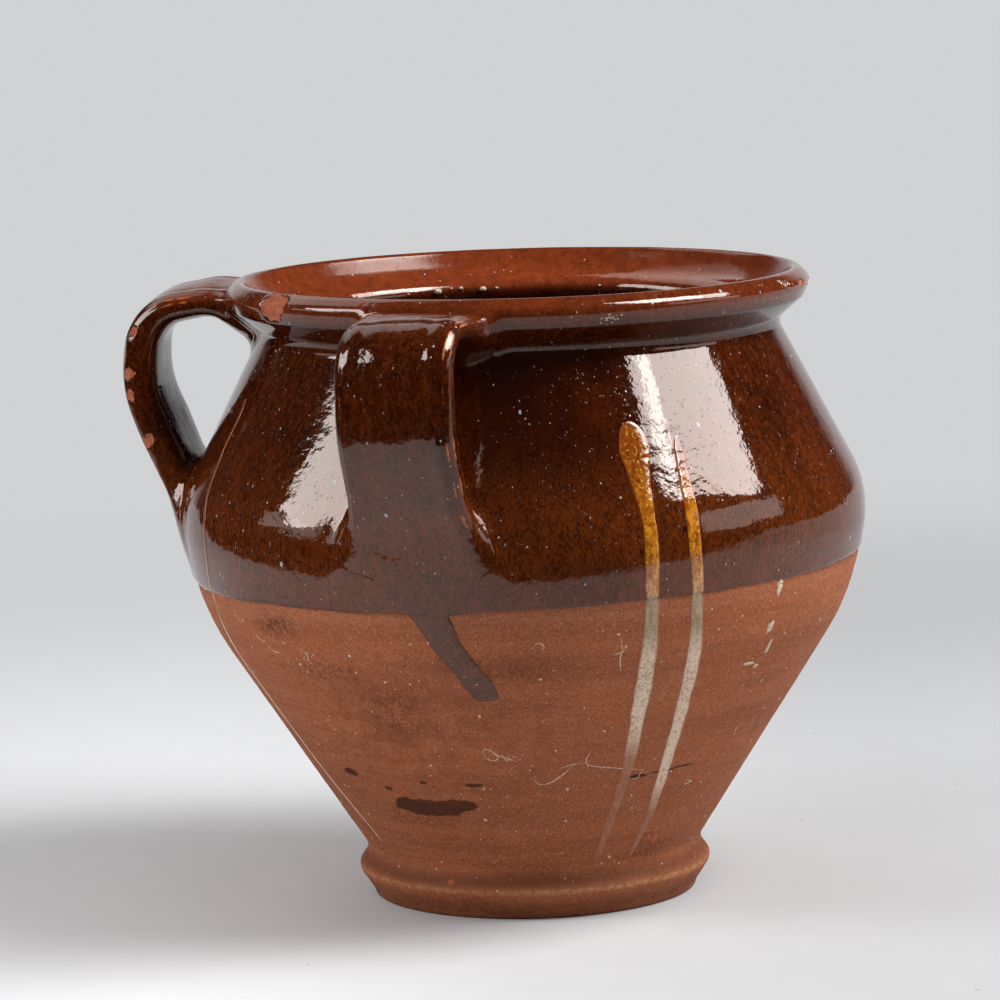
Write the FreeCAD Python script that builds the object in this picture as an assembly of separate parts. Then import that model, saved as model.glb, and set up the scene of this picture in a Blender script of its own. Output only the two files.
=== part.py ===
import FreeCAD, Part
import math
import os
from FreeCAD import Vector

# A two-handled cooking jar of red earthenware, glazed over its upper half.
# Sizes are in millimetres. The origin is the centre of the foot's resting face,
# +Z is up. The two handles stand side by side: one near -Y, the other near -X.
# A drop is measured down from the top of the jar, and an angle from -Y towards +X.

# The thrown jar as a whole
jar_height = 204.3
wall = 7.0
floor_thickness = 9.0

# Foot: a thick bead above the resting face, with a tight waist over it
foot_radius = 53.0
foot_bead_radius = 59.4
foot_bead_height = 9.6
foot_bead_round = 3.6
foot_waist_radius = 54.8
foot_waist_height = 15.4
foot_waist_round = 4.5

# Belly: the lower cone and the shoulder meet in two long bends
low_bend_radius = 107.7
low_bend_height = 97.7
low_bend_round = 94.0
belly_radius = 113.6
belly_height = 130.6
belly_round = 35.0

# Neck and rolled lip
neck_radius = 84.6
neck_drop = 17.2
neck_round = 4.0
lip_under_radius = 93.4
lip_under_drop = 9.6
lip_radius = 96.0
lip_drop = 3.8
lip_round = 2.4
lip_top_radius = 92.0
lip_top_round = 1.8
lip_flat = 2.4
lip_inner_round = 1.6

# Dished mouth inside the lip, the throat below it, and the inside floor
mouth_radius = 86.0
mouth_drop = 7.2
mouth_round = 25.0
throat_drop = 16.4
throat_round = 6.0
floor_corner_round = 14.0

# Pulled strap handles, and the line that the middle of each strap follows
handle_middle_angle = -45.0
handle_half_spread = 40.2
handle_overhang = 17.6
strap_width = 37.0
strap_thickness = 11.4
strap_end_thickness = 10.0
strap_squareness = 3.4
crest_drop = 2.5
crest_offset = 4.1
crest_round = 20.0
knuckle_fall = 1.4
knuckle_round = 22.0
elbow_drop = 38.8
elbow_round = 38.0

# Where the straps are pressed on: under the lip, and smeared down the belly
upper_root_width = 40.0
upper_root_thickness = 21.0
upper_root_drop = 13.4
upper_root_sink = 4.0
upper_root_length = 20.0
smear_offset = 2.4
smear_rise = 6.8
smear_round = 30.0
lower_root_width = 60.0
lower_root_thickness = 6.5
lower_root_sink = 8.6
lower_root_fall = 16.0
lower_root_length = 42.0
root_squareness = 2.0
root_hug = 1.3
run_section_count = 2
arc_section_count = 4
section_points = 16

# Runs of glaze that lie on the wall
dark_run_angle = 0.6
dark_run_top = 113.0
dark_run_length = 36.0
dark_run_width = 8.0
dark_run_end_width = 6.4
dark_run_lean_angle = 27.0
dark_run_thickness = 0.8
amber_run_angles = (34.3, 43.9)
amber_run_tops = (167.0, 160.0)
amber_run_lengths = (112.0, 106.0)
amber_run_widths = (6.4, 3.6)
amber_run_end_width = 2.8
amber_run_lean_angle = -2.0
amber_run_thickness = 0.6

# Corners of the jar's outline, from the foot up: radius, height and round
neck_height = jar_height - neck_drop

foot_vertices = [
    (foot_radius, 0, 0),
    (foot_bead_radius, foot_bead_height, foot_bead_round),
    (foot_waist_radius, foot_waist_height, foot_waist_round),
]
wall_vertices = [
    (low_bend_radius, low_bend_height, low_bend_round),
    (belly_radius, belly_height, belly_round),
]
lip_vertices = [
    (neck_radius, neck_height, neck_round),
    (lip_under_radius, jar_height - lip_under_drop, 0),
    (lip_radius, jar_height - lip_drop, lip_round),
    (lip_top_radius, jar_height, lip_top_round),
]
outer_vertices = foot_vertices + wall_vertices + lip_vertices


def turn_at(before, vertex, after):
    """The directions in and out of a vertex, the signed turn, and the two run lengths."""
    in_r, in_z = vertex[0] - before[0], vertex[1] - before[1]
    out_r, out_z = after[0] - vertex[0], after[1] - vertex[1]
    in_length = math.hypot(in_r, in_z)
    out_length = math.hypot(out_r, out_z)
    u = (in_r / in_length, in_z / in_length)
    w = (out_r / out_length, out_z / out_length)
    turn = math.atan2(u[0] * w[1] - u[1] * w[0], u[0] * w[0] + u[1] * w[1])
    return u, w, turn, in_length, out_length


def rounded_chain(vertices, place):
    """Edges through vertices of (radius, height, round): straight runs joined by tangent arcs.
    A round is limited by the runs beside it, and 0 leaves the vertex sharp."""
    most = 0.49
    edges = []
    at = place(vertices[0][0], vertices[0][1])
    for before, vertex, after in zip(vertices, vertices[1:], vertices[2:]):
        u, w, turn, in_length, out_length = turn_at(before, vertex, after)
        reach = min(vertex[2] * math.tan(abs(turn) / 2), in_length * most, out_length * most)
        start = place(vertex[0] - u[0] * reach, vertex[1] - u[1] * reach)
        edges.append(Part.LineSegment(at, start).toShape())
        at = start
        if reach > 0:
            bend = math.hypot(w[0] - u[0], w[1] - u[1])
            bow = reach * math.tan(abs(turn) / 4) / bend
            middle = place(vertex[0] + (w[0] - u[0]) * bow, vertex[1] + (w[1] - u[1]) * bow)
            at = place(vertex[0] + w[0] * reach, vertex[1] + w[1] * reach)
            edges.append(Part.Arc(start, middle, at).toShape())
    edges.append(Part.LineSegment(at, place(vertices[-1][0], vertices[-1][1])).toShape())
    return edges


def moved_chain(vertices, distance):
    """The inner vertices of a chain moved sideways, towards the jar's axis where distance is positive."""
    moved = []
    for before, vertex, after in zip(vertices, vertices[1:], vertices[2:]):
        u, w, turn, _, _ = turn_at(before, vertex, after)
        share = distance / (1 + u[0] * w[0] + u[1] * w[1])
        radius = vertex[0] - (u[1] + w[1]) * share
        height = vertex[1] + (u[0] + w[0]) * share
        rounding = vertex[2] - math.copysign(distance, turn) if vertex[2] else 0
        moved.append((radius, height, max(rounding, 0)))
    return moved


def at_height(first, second, height):
    """The radius at a height on the straight line through two vertices."""
    share = (height - first[1]) / (second[1] - first[1])
    return first[0] + (second[0] - first[0]) * share


def on_profile(radius, height):
    return Vector(radius, 0, height)


def revolved(edges):
    """A solid of revolution about Z from a closed profile in the XZ plane."""
    face = Part.Face(Part.Wire(edges))
    return face.revolve(Vector(0, 0, 0), Vector(0, 0, 1), 360)


def inner_vertices():
    """The mouth, throat and inside of the wall, from the lip down to the floor's corner."""
    wall_line = [foot_vertices[-1]] + wall_vertices + [lip_vertices[0]]
    low_inner, belly_inner = moved_chain(wall_line, wall)
    waist_inner = moved_chain([foot_vertices[-2]] + wall_line[:2], wall)[0]
    neck_inner = moved_chain(wall_line[-2:] + [lip_vertices[1]], wall)[0]
    throat_height = jar_height - throat_drop
    throat_radius = at_height(belly_inner, neck_inner, throat_height)
    corner_radius = at_height(low_inner, waist_inner, floor_thickness)
    return [
        (lip_top_radius - lip_flat, jar_height, lip_inner_round),
        (mouth_radius, jar_height - mouth_drop, mouth_round),
        (throat_radius, throat_height, throat_round),
        belly_inner,
        low_inner,
        (corner_radius, floor_thickness, floor_corner_round),
    ]


def thrown_body():
    """Foot, belly, shoulder, neck and rolled lip: one piece of clay off the wheel."""
    vertices = [(0, 0, 0)] + outer_vertices + inner_vertices() + [(0, floor_thickness, 0)]
    edges = rounded_chain(vertices, on_profile)
    edges.append(Part.LineSegment(on_profile(0, floor_thickness), on_profile(0, 0)).toShape())
    return revolved(edges)


def body_envelope(proud):
    """The jar's outside, moved out by proud, as a filled solid that what sits on the wall is cut to."""
    above = jar_height + proud
    vertices = [(0, 0, 0), (foot_radius, 0, 0)]
    vertices += moved_chain(outer_vertices + [(0, jar_height, 0)], -proud)
    edges = rounded_chain(vertices + [(0, above, 0)], on_profile)
    edges.append(Part.LineSegment(on_profile(0, above), on_profile(0, 0)).toShape())
    return revolved(edges)


def strap_line():
    """The line along the middle of a handle's strap, from inside the neck to inside the belly."""
    crest_height = jar_height - crest_drop - strap_end_thickness / 2
    reach = belly_radius + handle_overhang - strap_thickness / 2
    vertices = [
        (neck_radius - upper_root_sink, jar_height - upper_root_drop, 0),
        (lip_radius + crest_offset, crest_height, crest_round),
        (reach, crest_height - knuckle_fall, knuckle_round),
        (reach, jar_height - elbow_drop, elbow_round),
        (belly_radius - smear_offset, belly_height + smear_rise, smear_round),
        (belly_radius - lower_root_sink, belly_height - lower_root_fall, 0),
    ]
    return Part.Wire(rounded_chain(vertices, on_profile))


def eased(share):
    """0 to 1 with no kink at either end."""
    share = min(max(share, 0.0), 1.0)
    return share * share * (3 - 2 * share)


def section_places(line):
    """Distances along a strap's line where it takes a section: each run and arc in equal steps."""
    places = [0.0]
    for edge in line.OrderedEdges:
        start = places[-1]
        straight = edge.Curve.TypeId == "Part::GeomLine"
        count = run_section_count if straight else arc_section_count
        for i in range(1, count + 1):
            places.append(start + edge.Length * i / count)
    return places


def strap_section(line, distance):
    """The strap's outline across its line, a given distance along it."""
    centre, along = point_along(line, distance)
    across = Vector(0, 1, 0)
    through = across.cross(along)
    near_lip = 1 - eased(distance / upper_root_length)
    near_belly = eased((distance - line.Length + lower_root_length) / lower_root_length)
    middle = math.sin(math.pi * distance / line.Length)
    width = strap_width + (upper_root_width - strap_width) * near_lip
    width += (lower_root_width - strap_width) * near_belly
    thickness = strap_end_thickness + (strap_thickness - strap_end_thickness) * middle
    thickness += (upper_root_thickness - strap_end_thickness) * near_lip
    thickness += (lower_root_thickness - strap_end_thickness) * near_belly
    squareness = strap_squareness + (root_squareness - strap_squareness) * max(near_lip, near_belly)
    hug = root_hug * near_belly / (2 * belly_radius)
    power = 2 / squareness
    points = []
    for i in range(section_points):
        angle = 2 * math.pi * (i + 0.5) / section_points
        x = math.copysign(abs(math.cos(angle)) ** power, math.cos(angle)) * width / 2
        y = math.copysign(abs(math.sin(angle)) ** power, math.sin(angle)) * thickness / 2
        points.append(centre + across * x + through * (y + hug * x * x))
    outline = Part.BSplineCurve()
    outline.interpolate(Points=points, PeriodicFlag=True)
    return Part.Wire(outline.toShape())


def point_along(line, distance):
    """The point and the direction a given distance along a wire."""
    for edge in line.OrderedEdges:
        if distance <= edge.Length or edge.isSame(line.OrderedEdges[-1]):
            parameter = edge.getParameterByLength(min(distance, edge.Length))
            return edge.valueAt(parameter), edge.tangentAt(parameter)
        distance -= edge.Length


def strap_handle(envelope, angle):
    """A pulled strap, pressed on under the lip and smeared on to the belly."""
    line = strap_line()
    sections = [strap_section(line, distance) for distance in section_places(line)]
    strap = Part.makeLoft(sections, True, True)
    strap.rotate(Vector(0, 0, 0), Vector(0, 0, 1), angle - 90)
    return strap.cut(envelope)


def tapered_slot(length, top_width, end_width):
    """A closed outline in the YZ plane that hangs down from the origin and has round ends."""
    top, end = top_width / 2, end_width / 2
    span = length - top - end
    tilt = math.asin((top - end) / span)

    def on_circle(height, radius, angle):
        return Vector(0, radius * math.cos(angle), height + radius * math.sin(angle))

    left_top = on_circle(-top, top, math.pi + tilt)
    right_top = on_circle(-top, top, -tilt)
    left_end = on_circle(-top - span, end, math.pi + tilt)
    right_end = on_circle(-top - span, end, -tilt)
    return Part.Wire([
        Part.Arc(right_top, on_circle(-top, top, math.pi / 2), left_top).toShape(),
        Part.LineSegment(left_top, left_end).toShape(),
        Part.Arc(left_end, on_circle(-top - span, end, -math.pi / 2), right_end).toShape(),
        Part.LineSegment(right_end, right_top).toShape(),
    ])


def glaze_run(envelope, angle, top, length, widths, lean_angle, thickness):
    """A run of glaze that follows the wall: the wall's offset skin inside a hanging outline."""
    outline = tapered_slot(length, widths[0], widths[1])
    outline.rotate(Vector(0, 0, 0), Vector(1, 0, 0), lean_angle)
    outline.translate(Vector(0, 0, top))
    prism = Part.Face(outline).extrude(Vector(belly_radius * 2, 0, 0))
    prism.rotate(Vector(0, 0, 0), Vector(0, 0, 1), angle - 90)
    skin = body_envelope(thickness).common(prism)
    return skin.cut(envelope)


def dark_glaze_run(envelope):
    """The short thick run of brown glaze that hangs from the edge of the dip."""
    widths = (dark_run_width, dark_run_end_width)
    return glaze_run(envelope, dark_run_angle, dark_run_top, dark_run_length, widths,
                     dark_run_lean_angle, dark_run_thickness)


def amber_glaze_runs(envelope):
    """The two long runs of clear amber glaze, side by side down the front."""
    runs = []
    for angle, top, length, width in zip(amber_run_angles, amber_run_tops,
                                         amber_run_lengths, amber_run_widths):
        widths = (width, amber_run_end_width)
        runs.append(glaze_run(envelope, angle, top, length, widths,
                              amber_run_lean_angle, amber_run_thickness))
    return Part.makeCompound(runs)


def write_part(name, shape):
    shape.exportStep("parts/" + name + ".step")


def main():
    os.makedirs("parts", exist_ok=True)
    envelope = body_envelope(0)
    write_part("thrown_body", thrown_body())
    write_part("side_handle", strap_handle(envelope, handle_middle_angle - handle_half_spread))
    write_part("front_handle", strap_handle(envelope, handle_middle_angle + handle_half_spread))
    write_part("dark_glaze_run", dark_glaze_run(envelope))
    write_part("amber_glaze_runs", amber_glaze_runs(envelope))


main()
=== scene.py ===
import itertools
import math

import bpy
import numpy as np
from mathutils import Matrix, Vector
from mathutils.bvhtree import BVHTree


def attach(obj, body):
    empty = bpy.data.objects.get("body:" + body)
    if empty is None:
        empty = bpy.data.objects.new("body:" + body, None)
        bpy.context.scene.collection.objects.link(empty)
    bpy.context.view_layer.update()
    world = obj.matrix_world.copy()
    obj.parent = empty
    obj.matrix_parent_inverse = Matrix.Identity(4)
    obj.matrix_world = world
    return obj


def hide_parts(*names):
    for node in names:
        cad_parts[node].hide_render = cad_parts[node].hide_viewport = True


bl_info = {
    "name": "Two-handled cooking jar",
    "version": (1, 0, 0),
    "blender": (4, 5, 0),
    "location": "3D View > Sidebar > Jar",
    "description": "Dresses the packed solids of a glazed earthenware jar",
    "category": "Object",
}

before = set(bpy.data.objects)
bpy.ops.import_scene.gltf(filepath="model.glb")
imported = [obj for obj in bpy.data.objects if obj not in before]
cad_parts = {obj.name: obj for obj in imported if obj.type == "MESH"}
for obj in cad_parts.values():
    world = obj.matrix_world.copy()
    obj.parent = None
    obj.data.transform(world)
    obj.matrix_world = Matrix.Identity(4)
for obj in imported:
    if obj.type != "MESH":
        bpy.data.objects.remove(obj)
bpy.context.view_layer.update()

# Every size is in metres. An angle is in degrees, from -Y towards +X.
# An outline corner is (radius, height, round).
MM = 0.001
JAR_HEIGHT = 0.2043
WALL = 0.007
FLOOR_THICKNESS = 0.009
FOOT_EDGE = (0.053, 0, 0)
FOOT_BEAD = (0.0594, 0.0096, 0.0036)
FOOT_WAIST = (0.0548, 0.0154, 0.0045)
LOW_BEND = (0.1077, 0.0977, 0.094)
BELLY = (0.1136, 0.1306, 0.035)
NECK = (0.0846, 0.1871, 0.004)
LIP_UNDER = (0.0934, 0.1947, 0.0006)
LIP_EDGE = (0.096, 0.2005, 0.0034)
LIP_TOP = (0.092, JAR_HEIGHT, 0.0026)
LIP_INNER = (0.0896, JAR_HEIGHT, 0.0016)
MOUTH = (0.086, 0.1971, 0.025)
THROAT_HEIGHT = 0.1925
THROAT_RADIUS = 0.0773
THROAT_ROUND = 0.009
FLOOR_CORNER_ROUND = 0.014
AXIS_GAP = 0.0002
# Rough radii, where marks on the foot and on the low wall are laid out
FOOT_RADIUS = 0.058
LOW_WALL_RADIUS = 0.075
DIP_RADIUS = 0.11
# The stretch of the outline that is the outside wall: from this far along it up to this height
WALL_START = 0.0535
WALL_END_HEIGHT = 0.2035
# How deep in the wall the straps' hidden ends stay, and from where up the straps stand free
TUCKED_DEPTH = 0.0013
FREE_HEIGHT = 0.150
# The coat of glaze lies this far proud of its own relief, and its edge rounds off over this
COAT_LIFT = 0.0001
COAT_EDGE = 0.0011
# How deep its hidden back lies, and how much deeper in the lip
COAT_BACK = 0.0011
COAT_BACK_IN_LIP = 0.0014
# The mean surfaces of the glaze and of the clay lie inside the outline, to leave room for relief
GLAZE_INSET = 0.00022
CLAY_INSET = 0.00015

# The line along the middle of each strap, in its own upright plane, as (radius, height, round).
# Pulled by hand, the two differ a little: the side strap is rounder, thicker and twisted.
STRAP_LINES = {
    "side_strap": [
        (0.0806, 0.1909, 0), (0.0990, 0.1986, 0.020), (0.1229, 0.1946, 0.031),
        (0.1252, 0.1703, 0.037), (0.1120, 0.1374, 0.030), (0.1083, 0.1190, 0.030),
        (0.1040, 0.1075, 0),
    ],
    "front_strap": [
        (0.0806, 0.1909, 0), (0.1001, 0.1968, 0.020), (0.1244, 0.1954, 0.022),
        (0.1244, 0.1655, 0.038), (0.1120, 0.1374, 0.030), (0.1083, 0.1190, 0.030),
        (0.1040, 0.1075, 0),
    ],
}
STRAP_WIDTHS = {"side_strap": 0.037, "front_strap": 0.0388}
STRAP_THICKNESS = {"side_strap": 0.0129, "front_strap": 0.0114}
STRAP_END_THICKNESS = 0.010
# Each root: its width, its thickness, and how far along the strap it reaches
UPPER_ROOT = (0.040, 0.021, 0.020)
LOWER_ROOT = (0.060, 0.0065, 0.042)
# How square a section is where the strap is free, and at its roots, where 2 is an ellipse
SQUARENESS = (3.4, 2.0)
# How closely the lower root follows the belly's round, where 1 follows it at the belly's middle
ROOT_HUG = 1.3
STRAP_ROWS = 230
STRAP_SIDES = 168
# How far a strap's surface lies inside its solid, so that its relief stays within it
STRAP_INSET = 0.0002
# Degrees of twist at shares of the strap's length
TWIST_PLACES = (0, 0.15, 0.35, 0.6, 1)
STRAP_TWISTS = {"side_strap": (0, 4.4, 2.6, -3.6, 0), "front_strap": (0, 1.0, -6.0, -2.0, 0)}
STRAP_ANGLES = {"side_strap": -85.2, "front_strap": -5.2}
# How far to each side of a strap, and how far past the lip's crest, its collars reach
COLLAR_ANGLE = 26
COLLAR_PAST_LIP = 0.004
STRAP_NODES = {"side_strap": "side_handle", "front_strap": "front_handle"}

# The photograph's camera and lamps are set by their bearing, which is turned from the part's
VIEW_TURN = 12.8

# The straps' solids by name, which the coat of glaze measures its distance to
solids = {}


# ---------------------------------------------------------------- sizes and colours


def length(name, default, description):
    return bpy.props.FloatProperty(
        name=name, default=default, description=description, unit="LENGTH", precision=5)


def colour(name, default, description):
    return bpy.props.FloatVectorProperty(
        name=name, default=default, description=description, subtype="COLOR", size=3,
        min=0, max=1)


class JarSizes(bpy.types.PropertyGroup):
    """Sizes of the jar's surface that the solids leave out."""

    dip_height: length("Dip height", 0.1096, "Mean height of the glaze's lower edge")
    dip_tilt: length("Dip tilt", 0.0026, "How far the dip line rises to one side")
    glaze_thickness: length("Glaze thickness", 0.0004, "Step from the bare clay to the glaze")
    blend_size: length("Root blend", 0.006, "Reach of the clay smoothed in round the straps")
    strap_hollow: length("Strap hollow", 0.0007, "Depth of a strap's face between its two edges")
    wheel_lines: length("Wheel lines", 0.00007, "Depth of the throwing lines in the bare clay")


class JarColours(bpy.types.PropertyGroup):
    """Colours of the clay and the glazes."""

    clay: colour("Clay", (0.42, 0.127, 0.052), "Bare fired clay")
    clay_dark: colour("Scorched clay", (0.19, 0.056, 0.023), "Clay that the kiln darkened")
    clay_pale: colour("Pale clay", (0.50, 0.22, 0.11), "Dry, dusty clay")
    chip: colour("Fresh chip", (0.47, 0.105, 0.038), "Clay inside a chip")
    glaze: colour("Brown glaze", (0.050, 0.0070, 0.0005), "Thick lead glaze over red clay")
    # Also painted as shade on the front of the shoulder and inside below the throat
    glaze_deep_and_shade: colour("Deep glaze", (0.020, 0.0026, 0.0003), "Glaze where it pooled")
    glaze_thin: colour("Thin glaze", (0.24, 0.052, 0.009), "Glaze drawn off an edge")
    glaze_edge: colour("Edge glaze", (0.42, 0.105, 0.028), "Glaze worn through on a ridge")
    glaze_red: colour("Red glaze", (0.225, 0.041, 0.012), "Glaze on the lip and in the mouth")
    rust: colour("Rust", (0.55, 0.13, 0.040), "Spots of redder clay")
    deposit: colour("Deposit", (0.40, 0.26, 0.11), "Yellow dust caught on the foot")
    speck: colour("Iron speck", (0.005, 0.0014, 0.0006), "Iron specks in the glaze")
    # Pale crystals, also painted in the glaze as tiny glints of light
    glint: colour("Lime glint", (0.42, 0.45, 0.50), "Tiny pale crystals in the glaze")
    amber: colour("Amber", (0.52, 0.200, 0.010), "Clear amber glaze")
    amber_deep: colour("Deep amber", (0.26, 0.062, 0.004), "Amber where it is thick")
    cream: colour("Cream", (0.74, 0.57, 0.42), "The run where it has turned opaque")
    olive: colour("Olive", (0.30, 0.235, 0.13), "The run just under the dip line")
    lime: colour("Lime", (0.62, 0.55, 0.44), "Specks of lime")


class StageSettings(bpy.types.PropertyGroup):
    """The floor, the surroundings and the lamps."""

    floor: colour("Floor", (0.565, 0.568, 0.575), "The floor near the jar")
    backdrop: colour("Backdrop", (0.635, 0.64, 0.65), "Far floor and background")
    right_lamp: bpy.props.FloatProperty(
        name="Right lamp", default=8.4, description="Brightness of the right lamp's face")
    left_lamp: bpy.props.FloatProperty(
        name="Left lamp", default=6.8, description="Brightness of the left lamp's face")
    fill: bpy.props.FloatProperty(
        name="Fill", default=0.295, description="Brightness of the light from all round")


# ---------------------------------------------------------------- lines and outlines


def turn_at(before, corner, after):
    """The directions in and out of a corner, the signed turn, and the two run lengths."""
    inward = np.subtract(corner[:2], before[:2])
    outward = np.subtract(after[:2], corner[:2])
    in_length, out_length = np.hypot(*inward), np.hypot(*outward)
    u, w = inward / in_length, outward / out_length
    return u, w, math.atan2(u[0] * w[1] - u[1] * w[0], u @ w), in_length, out_length


def rounded_line(corners, step=0.0002):
    """Closely spaced points through corners: straight runs joined by tangent arcs."""
    points = [np.array(corners[0][:2], float)]

    def run_to(end):
        start = points[-1]
        count = max(int(np.hypot(*(end - start)) / step), 1)
        points.extend(start + (end - start) * i / count for i in range(1, count + 1))

    for before, corner, after in zip(corners, corners[1:], corners[2:]):
        u, w, turn, in_length, out_length = turn_at(before, corner, after)
        reach = min(corner[2] * math.tan(abs(turn) / 2), in_length * 0.49, out_length * 0.49)
        start = corner[:2] - u * reach
        run_to(start)
        if reach > 0:
            radius = reach / math.tan(abs(turn) / 2)
            inward = np.array([-u[1], u[0]]) * math.copysign(radius, turn)
            centre = start + inward
            count = max(int(radius * abs(turn) / step), 4)
            for i in range(1, count + 1):
                cosine, sine = math.cos(turn * i / count), math.sin(turn * i / count)
                x, y = -inward
                points.append(centre + (x * cosine - y * sine, x * sine + y * cosine))
    run_to(np.array(corners[-1][:2], float))
    return np.array(points)


def moved_corner(before, corner, after, distance):
    """A corner moved in by a distance from both runs beside it."""
    u, w, turn, _, _ = turn_at(before, corner, after)
    share = distance / (1 + u @ w)
    rounding = max(corner[2] - math.copysign(distance, turn), 0)
    return (corner[0] - (u[1] + w[1]) * share, corner[1] + (u[0] + w[0]) * share, rounding)


def radius_between(first, second, height):
    """The radius at a height on the straight line through two corners."""
    share = (height - first[1]) / (second[1] - first[1])
    return first[0] + (second[0] - first[0]) * share


class Line:
    """A line in an upright plane, with its distances, points and sideways normals."""

    def __init__(self, corners):
        points = rounded_line(corners)
        steps = np.hypot(*np.diff(points, axis=0).T)
        self.distance = np.concatenate([[0], np.cumsum(steps)])
        self.length = self.distance[-1]
        self.radius, self.height = points.T
        along = np.gradient(points, self.distance, axis=0)
        along /= np.hypot(*along.T)[:, None]
        self.out_radius, self.out_height = along[:, 1], -along[:, 0]

    def at(self, distance):
        """Radius, height and the two parts of the normal at distances along the line."""
        curves = (self.radius, self.height, self.out_radius, self.out_height)
        return [np.interp(distance, self.distance, curve) for curve in curves]


def jar_outline():
    """The whole section of the jar: foot, wall, lip, mouth, throat, inside and floor."""
    low_inner = moved_corner(FOOT_WAIST, LOW_BEND, BELLY, WALL)
    belly_inner = moved_corner(LOW_BEND, BELLY, NECK, WALL)
    waist_inner = moved_corner(FOOT_BEAD, FOOT_WAIST, LOW_BEND, WALL)
    throat = (THROAT_RADIUS, THROAT_HEIGHT, THROAT_ROUND)
    corner_radius = radius_between(low_inner, waist_inner, FLOOR_THICKNESS)
    return Line([
        (AXIS_GAP, 0, 0), FOOT_EDGE, FOOT_BEAD, FOOT_WAIST, LOW_BEND, BELLY, NECK, LIP_UNDER,
        LIP_EDGE, LIP_TOP, LIP_INNER, MOUTH, throat, belly_inner, low_inner,
        (corner_radius, FLOOR_THICKNESS, FLOOR_CORNER_ROUND), (AXIS_GAP, FLOOR_THICKNESS, 0),
    ])


outline = jar_outline()
OUTSIDE = slice(int(np.searchsorted(outline.distance, WALL_START)),
                int(np.argmax(outline.height > WALL_END_HEIGHT)))
# How far along the outline the lip's crest, the throat and the neck are
LIP_PLACE = float(outline.distance[OUTSIDE.stop])
THROAT_PLACE = float(outline.distance[OUTSIDE.stop + int(np.argmax(
    outline.height[OUTSIDE.stop:] < THROAT_HEIGHT))])
NECK_PLACE = float(np.interp(NECK[1], outline.height[OUTSIDE], outline.distance[OUTSIDE]))


def wall_place(height):
    """How far along the outline the outside wall is at a height."""
    return np.interp(height, outline.height[OUTSIDE], outline.distance[OUTSIDE])


def in_lip(place):
    """1 from the neck to the throat, falling smoothly to 0 before and after."""
    return eased((place - NECK_PLACE + 0.004) / 0.004) * (1 - eased((place - THROAT_PLACE) / 0.01))


def eased(share):
    """0 to 1 with no kink at either end."""
    share = np.clip(share, 0, 1)
    return share * share * (3 - 2 * share)


def bump_at(value, centre, half_width):
    """1 at centre, falling smoothly to 0 at half_width from it."""
    return eased(1 - np.abs(value - centre) / half_width)


def soft_noise(points, size, seed):
    """Smooth noise from -1 to 1 over points, with lumps of about the given size."""
    lattice = np.random.default_rng(seed).uniform(-1, 1, (32, 32, 32))
    at = points / size + 400
    cell = np.floor(at).astype(int)
    part = eased(at - cell)
    total = np.zeros(points.shape[:-1])
    for corner in itertools.product((0, 1), repeat=3):
        weight = np.prod(np.where(corner, part, 1 - part), axis=-1)
        i, j, k = np.moveaxis((cell + corner) % 32, -1, 0)
        total += weight * lattice[i, j, k]
    return total


def around(angle, radius, height):
    """Points at angles round the jar's axis."""
    turn = np.radians(angle)
    radius, height = np.broadcast_arrays(radius, height)
    return np.stack([radius * np.sin(turn), -radius * np.cos(turn), height + 0 * turn], -1)


def angle_gap(angle, centre):
    """Signed degrees from centre to angle."""
    return (angle - centre + 180) % 360 - 180


# ---------------------------------------------------------------- surfaces


def dip_line(angle):
    """Height of the glaze's lower edge at angles round the jar."""
    sizes = bpy.context.scene.jar_sizes
    ring = around(angle, DIP_RADIUS, 0.0)
    height = sizes.dip_height + sizes.dip_tilt * np.sin(np.radians(angle - VIEW_TURN))
    height += 0.00035 * soft_noise(ring, 0.02, 11) + 0.0002 * soft_noise(ring, 0.006, 12)
    # It sags where the dark run leaves it.
    sag_angle, sag_half_width, sag = -1.5, 5, 0.0012
    return height - sag * bump_at(angle_gap(angle, sag_angle), 0, sag_half_width)


# The shares of a chip's half width over which its mask and its depth set in
CHIP_EDGE = 0.35
CHIP_SLOPE = 0.5
# Chips: (angle, height, half width round the jar, half width along the outline, depth)
LIP_CHIPS = [
    (-42.9, 0.2008, 0.0080, 0.0060, 0.0013),
    (-98.6, 0.2034, 0.0034, 0.0017, 0.0006),
    (86.0, 0.2004, 0.0030, 0.0010, 0.0003),
    (97.0, 0.1990, 0.0040, 0.0016, 0.0004),
    (158.5, 0.2040, 0.0030, 0.0010, 0.0006),
    (-131.0, 0.2014, 0.0040, 0.0014, 0.0005),
]


def chipped(angle, place):
    """How far each point is inside the lip's chips, 0 to 1, and how deep they are there."""
    inside, depth = np.zeros(angle.shape), np.zeros(angle.shape)
    radius = outline.at(place)[0]
    spots = around(angle, radius, place)
    ragged = 0.25 * soft_noise(spots, 0.0035, 31) + 0.2 * soft_noise(spots, 0.0015, 32)
    for centre, height, half_round, half_along, deep in LIP_CHIPS:
        across = np.radians(angle_gap(angle, centre)) * radius / half_round
        along = (place - wall_place(height)) / half_along
        reach = 1 - np.sqrt(across ** 2 + along ** 2) + ragged
        inside = np.maximum(inside, eased(reach / CHIP_EDGE))
        depth = np.maximum(depth, deep * eased(reach / CHIP_SLOPE))
    return inside, depth


def wheel_relief(points, fine):
    """Throwing lines: noise drawn out round the jar."""
    drawn = points * (0.12, 0.12, 1)
    lines = 0.6 * soft_noise(drawn, fine, 21) + 0.5 * soft_noise(drawn, fine * 2.6, 22)
    return lines + 0.35 * soft_noise(drawn, fine * 0.5, 23)


# Grooves under the glaze: (height, depth in millimetres, half width)
GROOVES = [(0.1362, 0.10, 0.0013), (0.1322, 0.09, 0.0012),
           (0.1545, 0.05, 0.0010), (0.1272, 0.04, 0.0016)]


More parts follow.
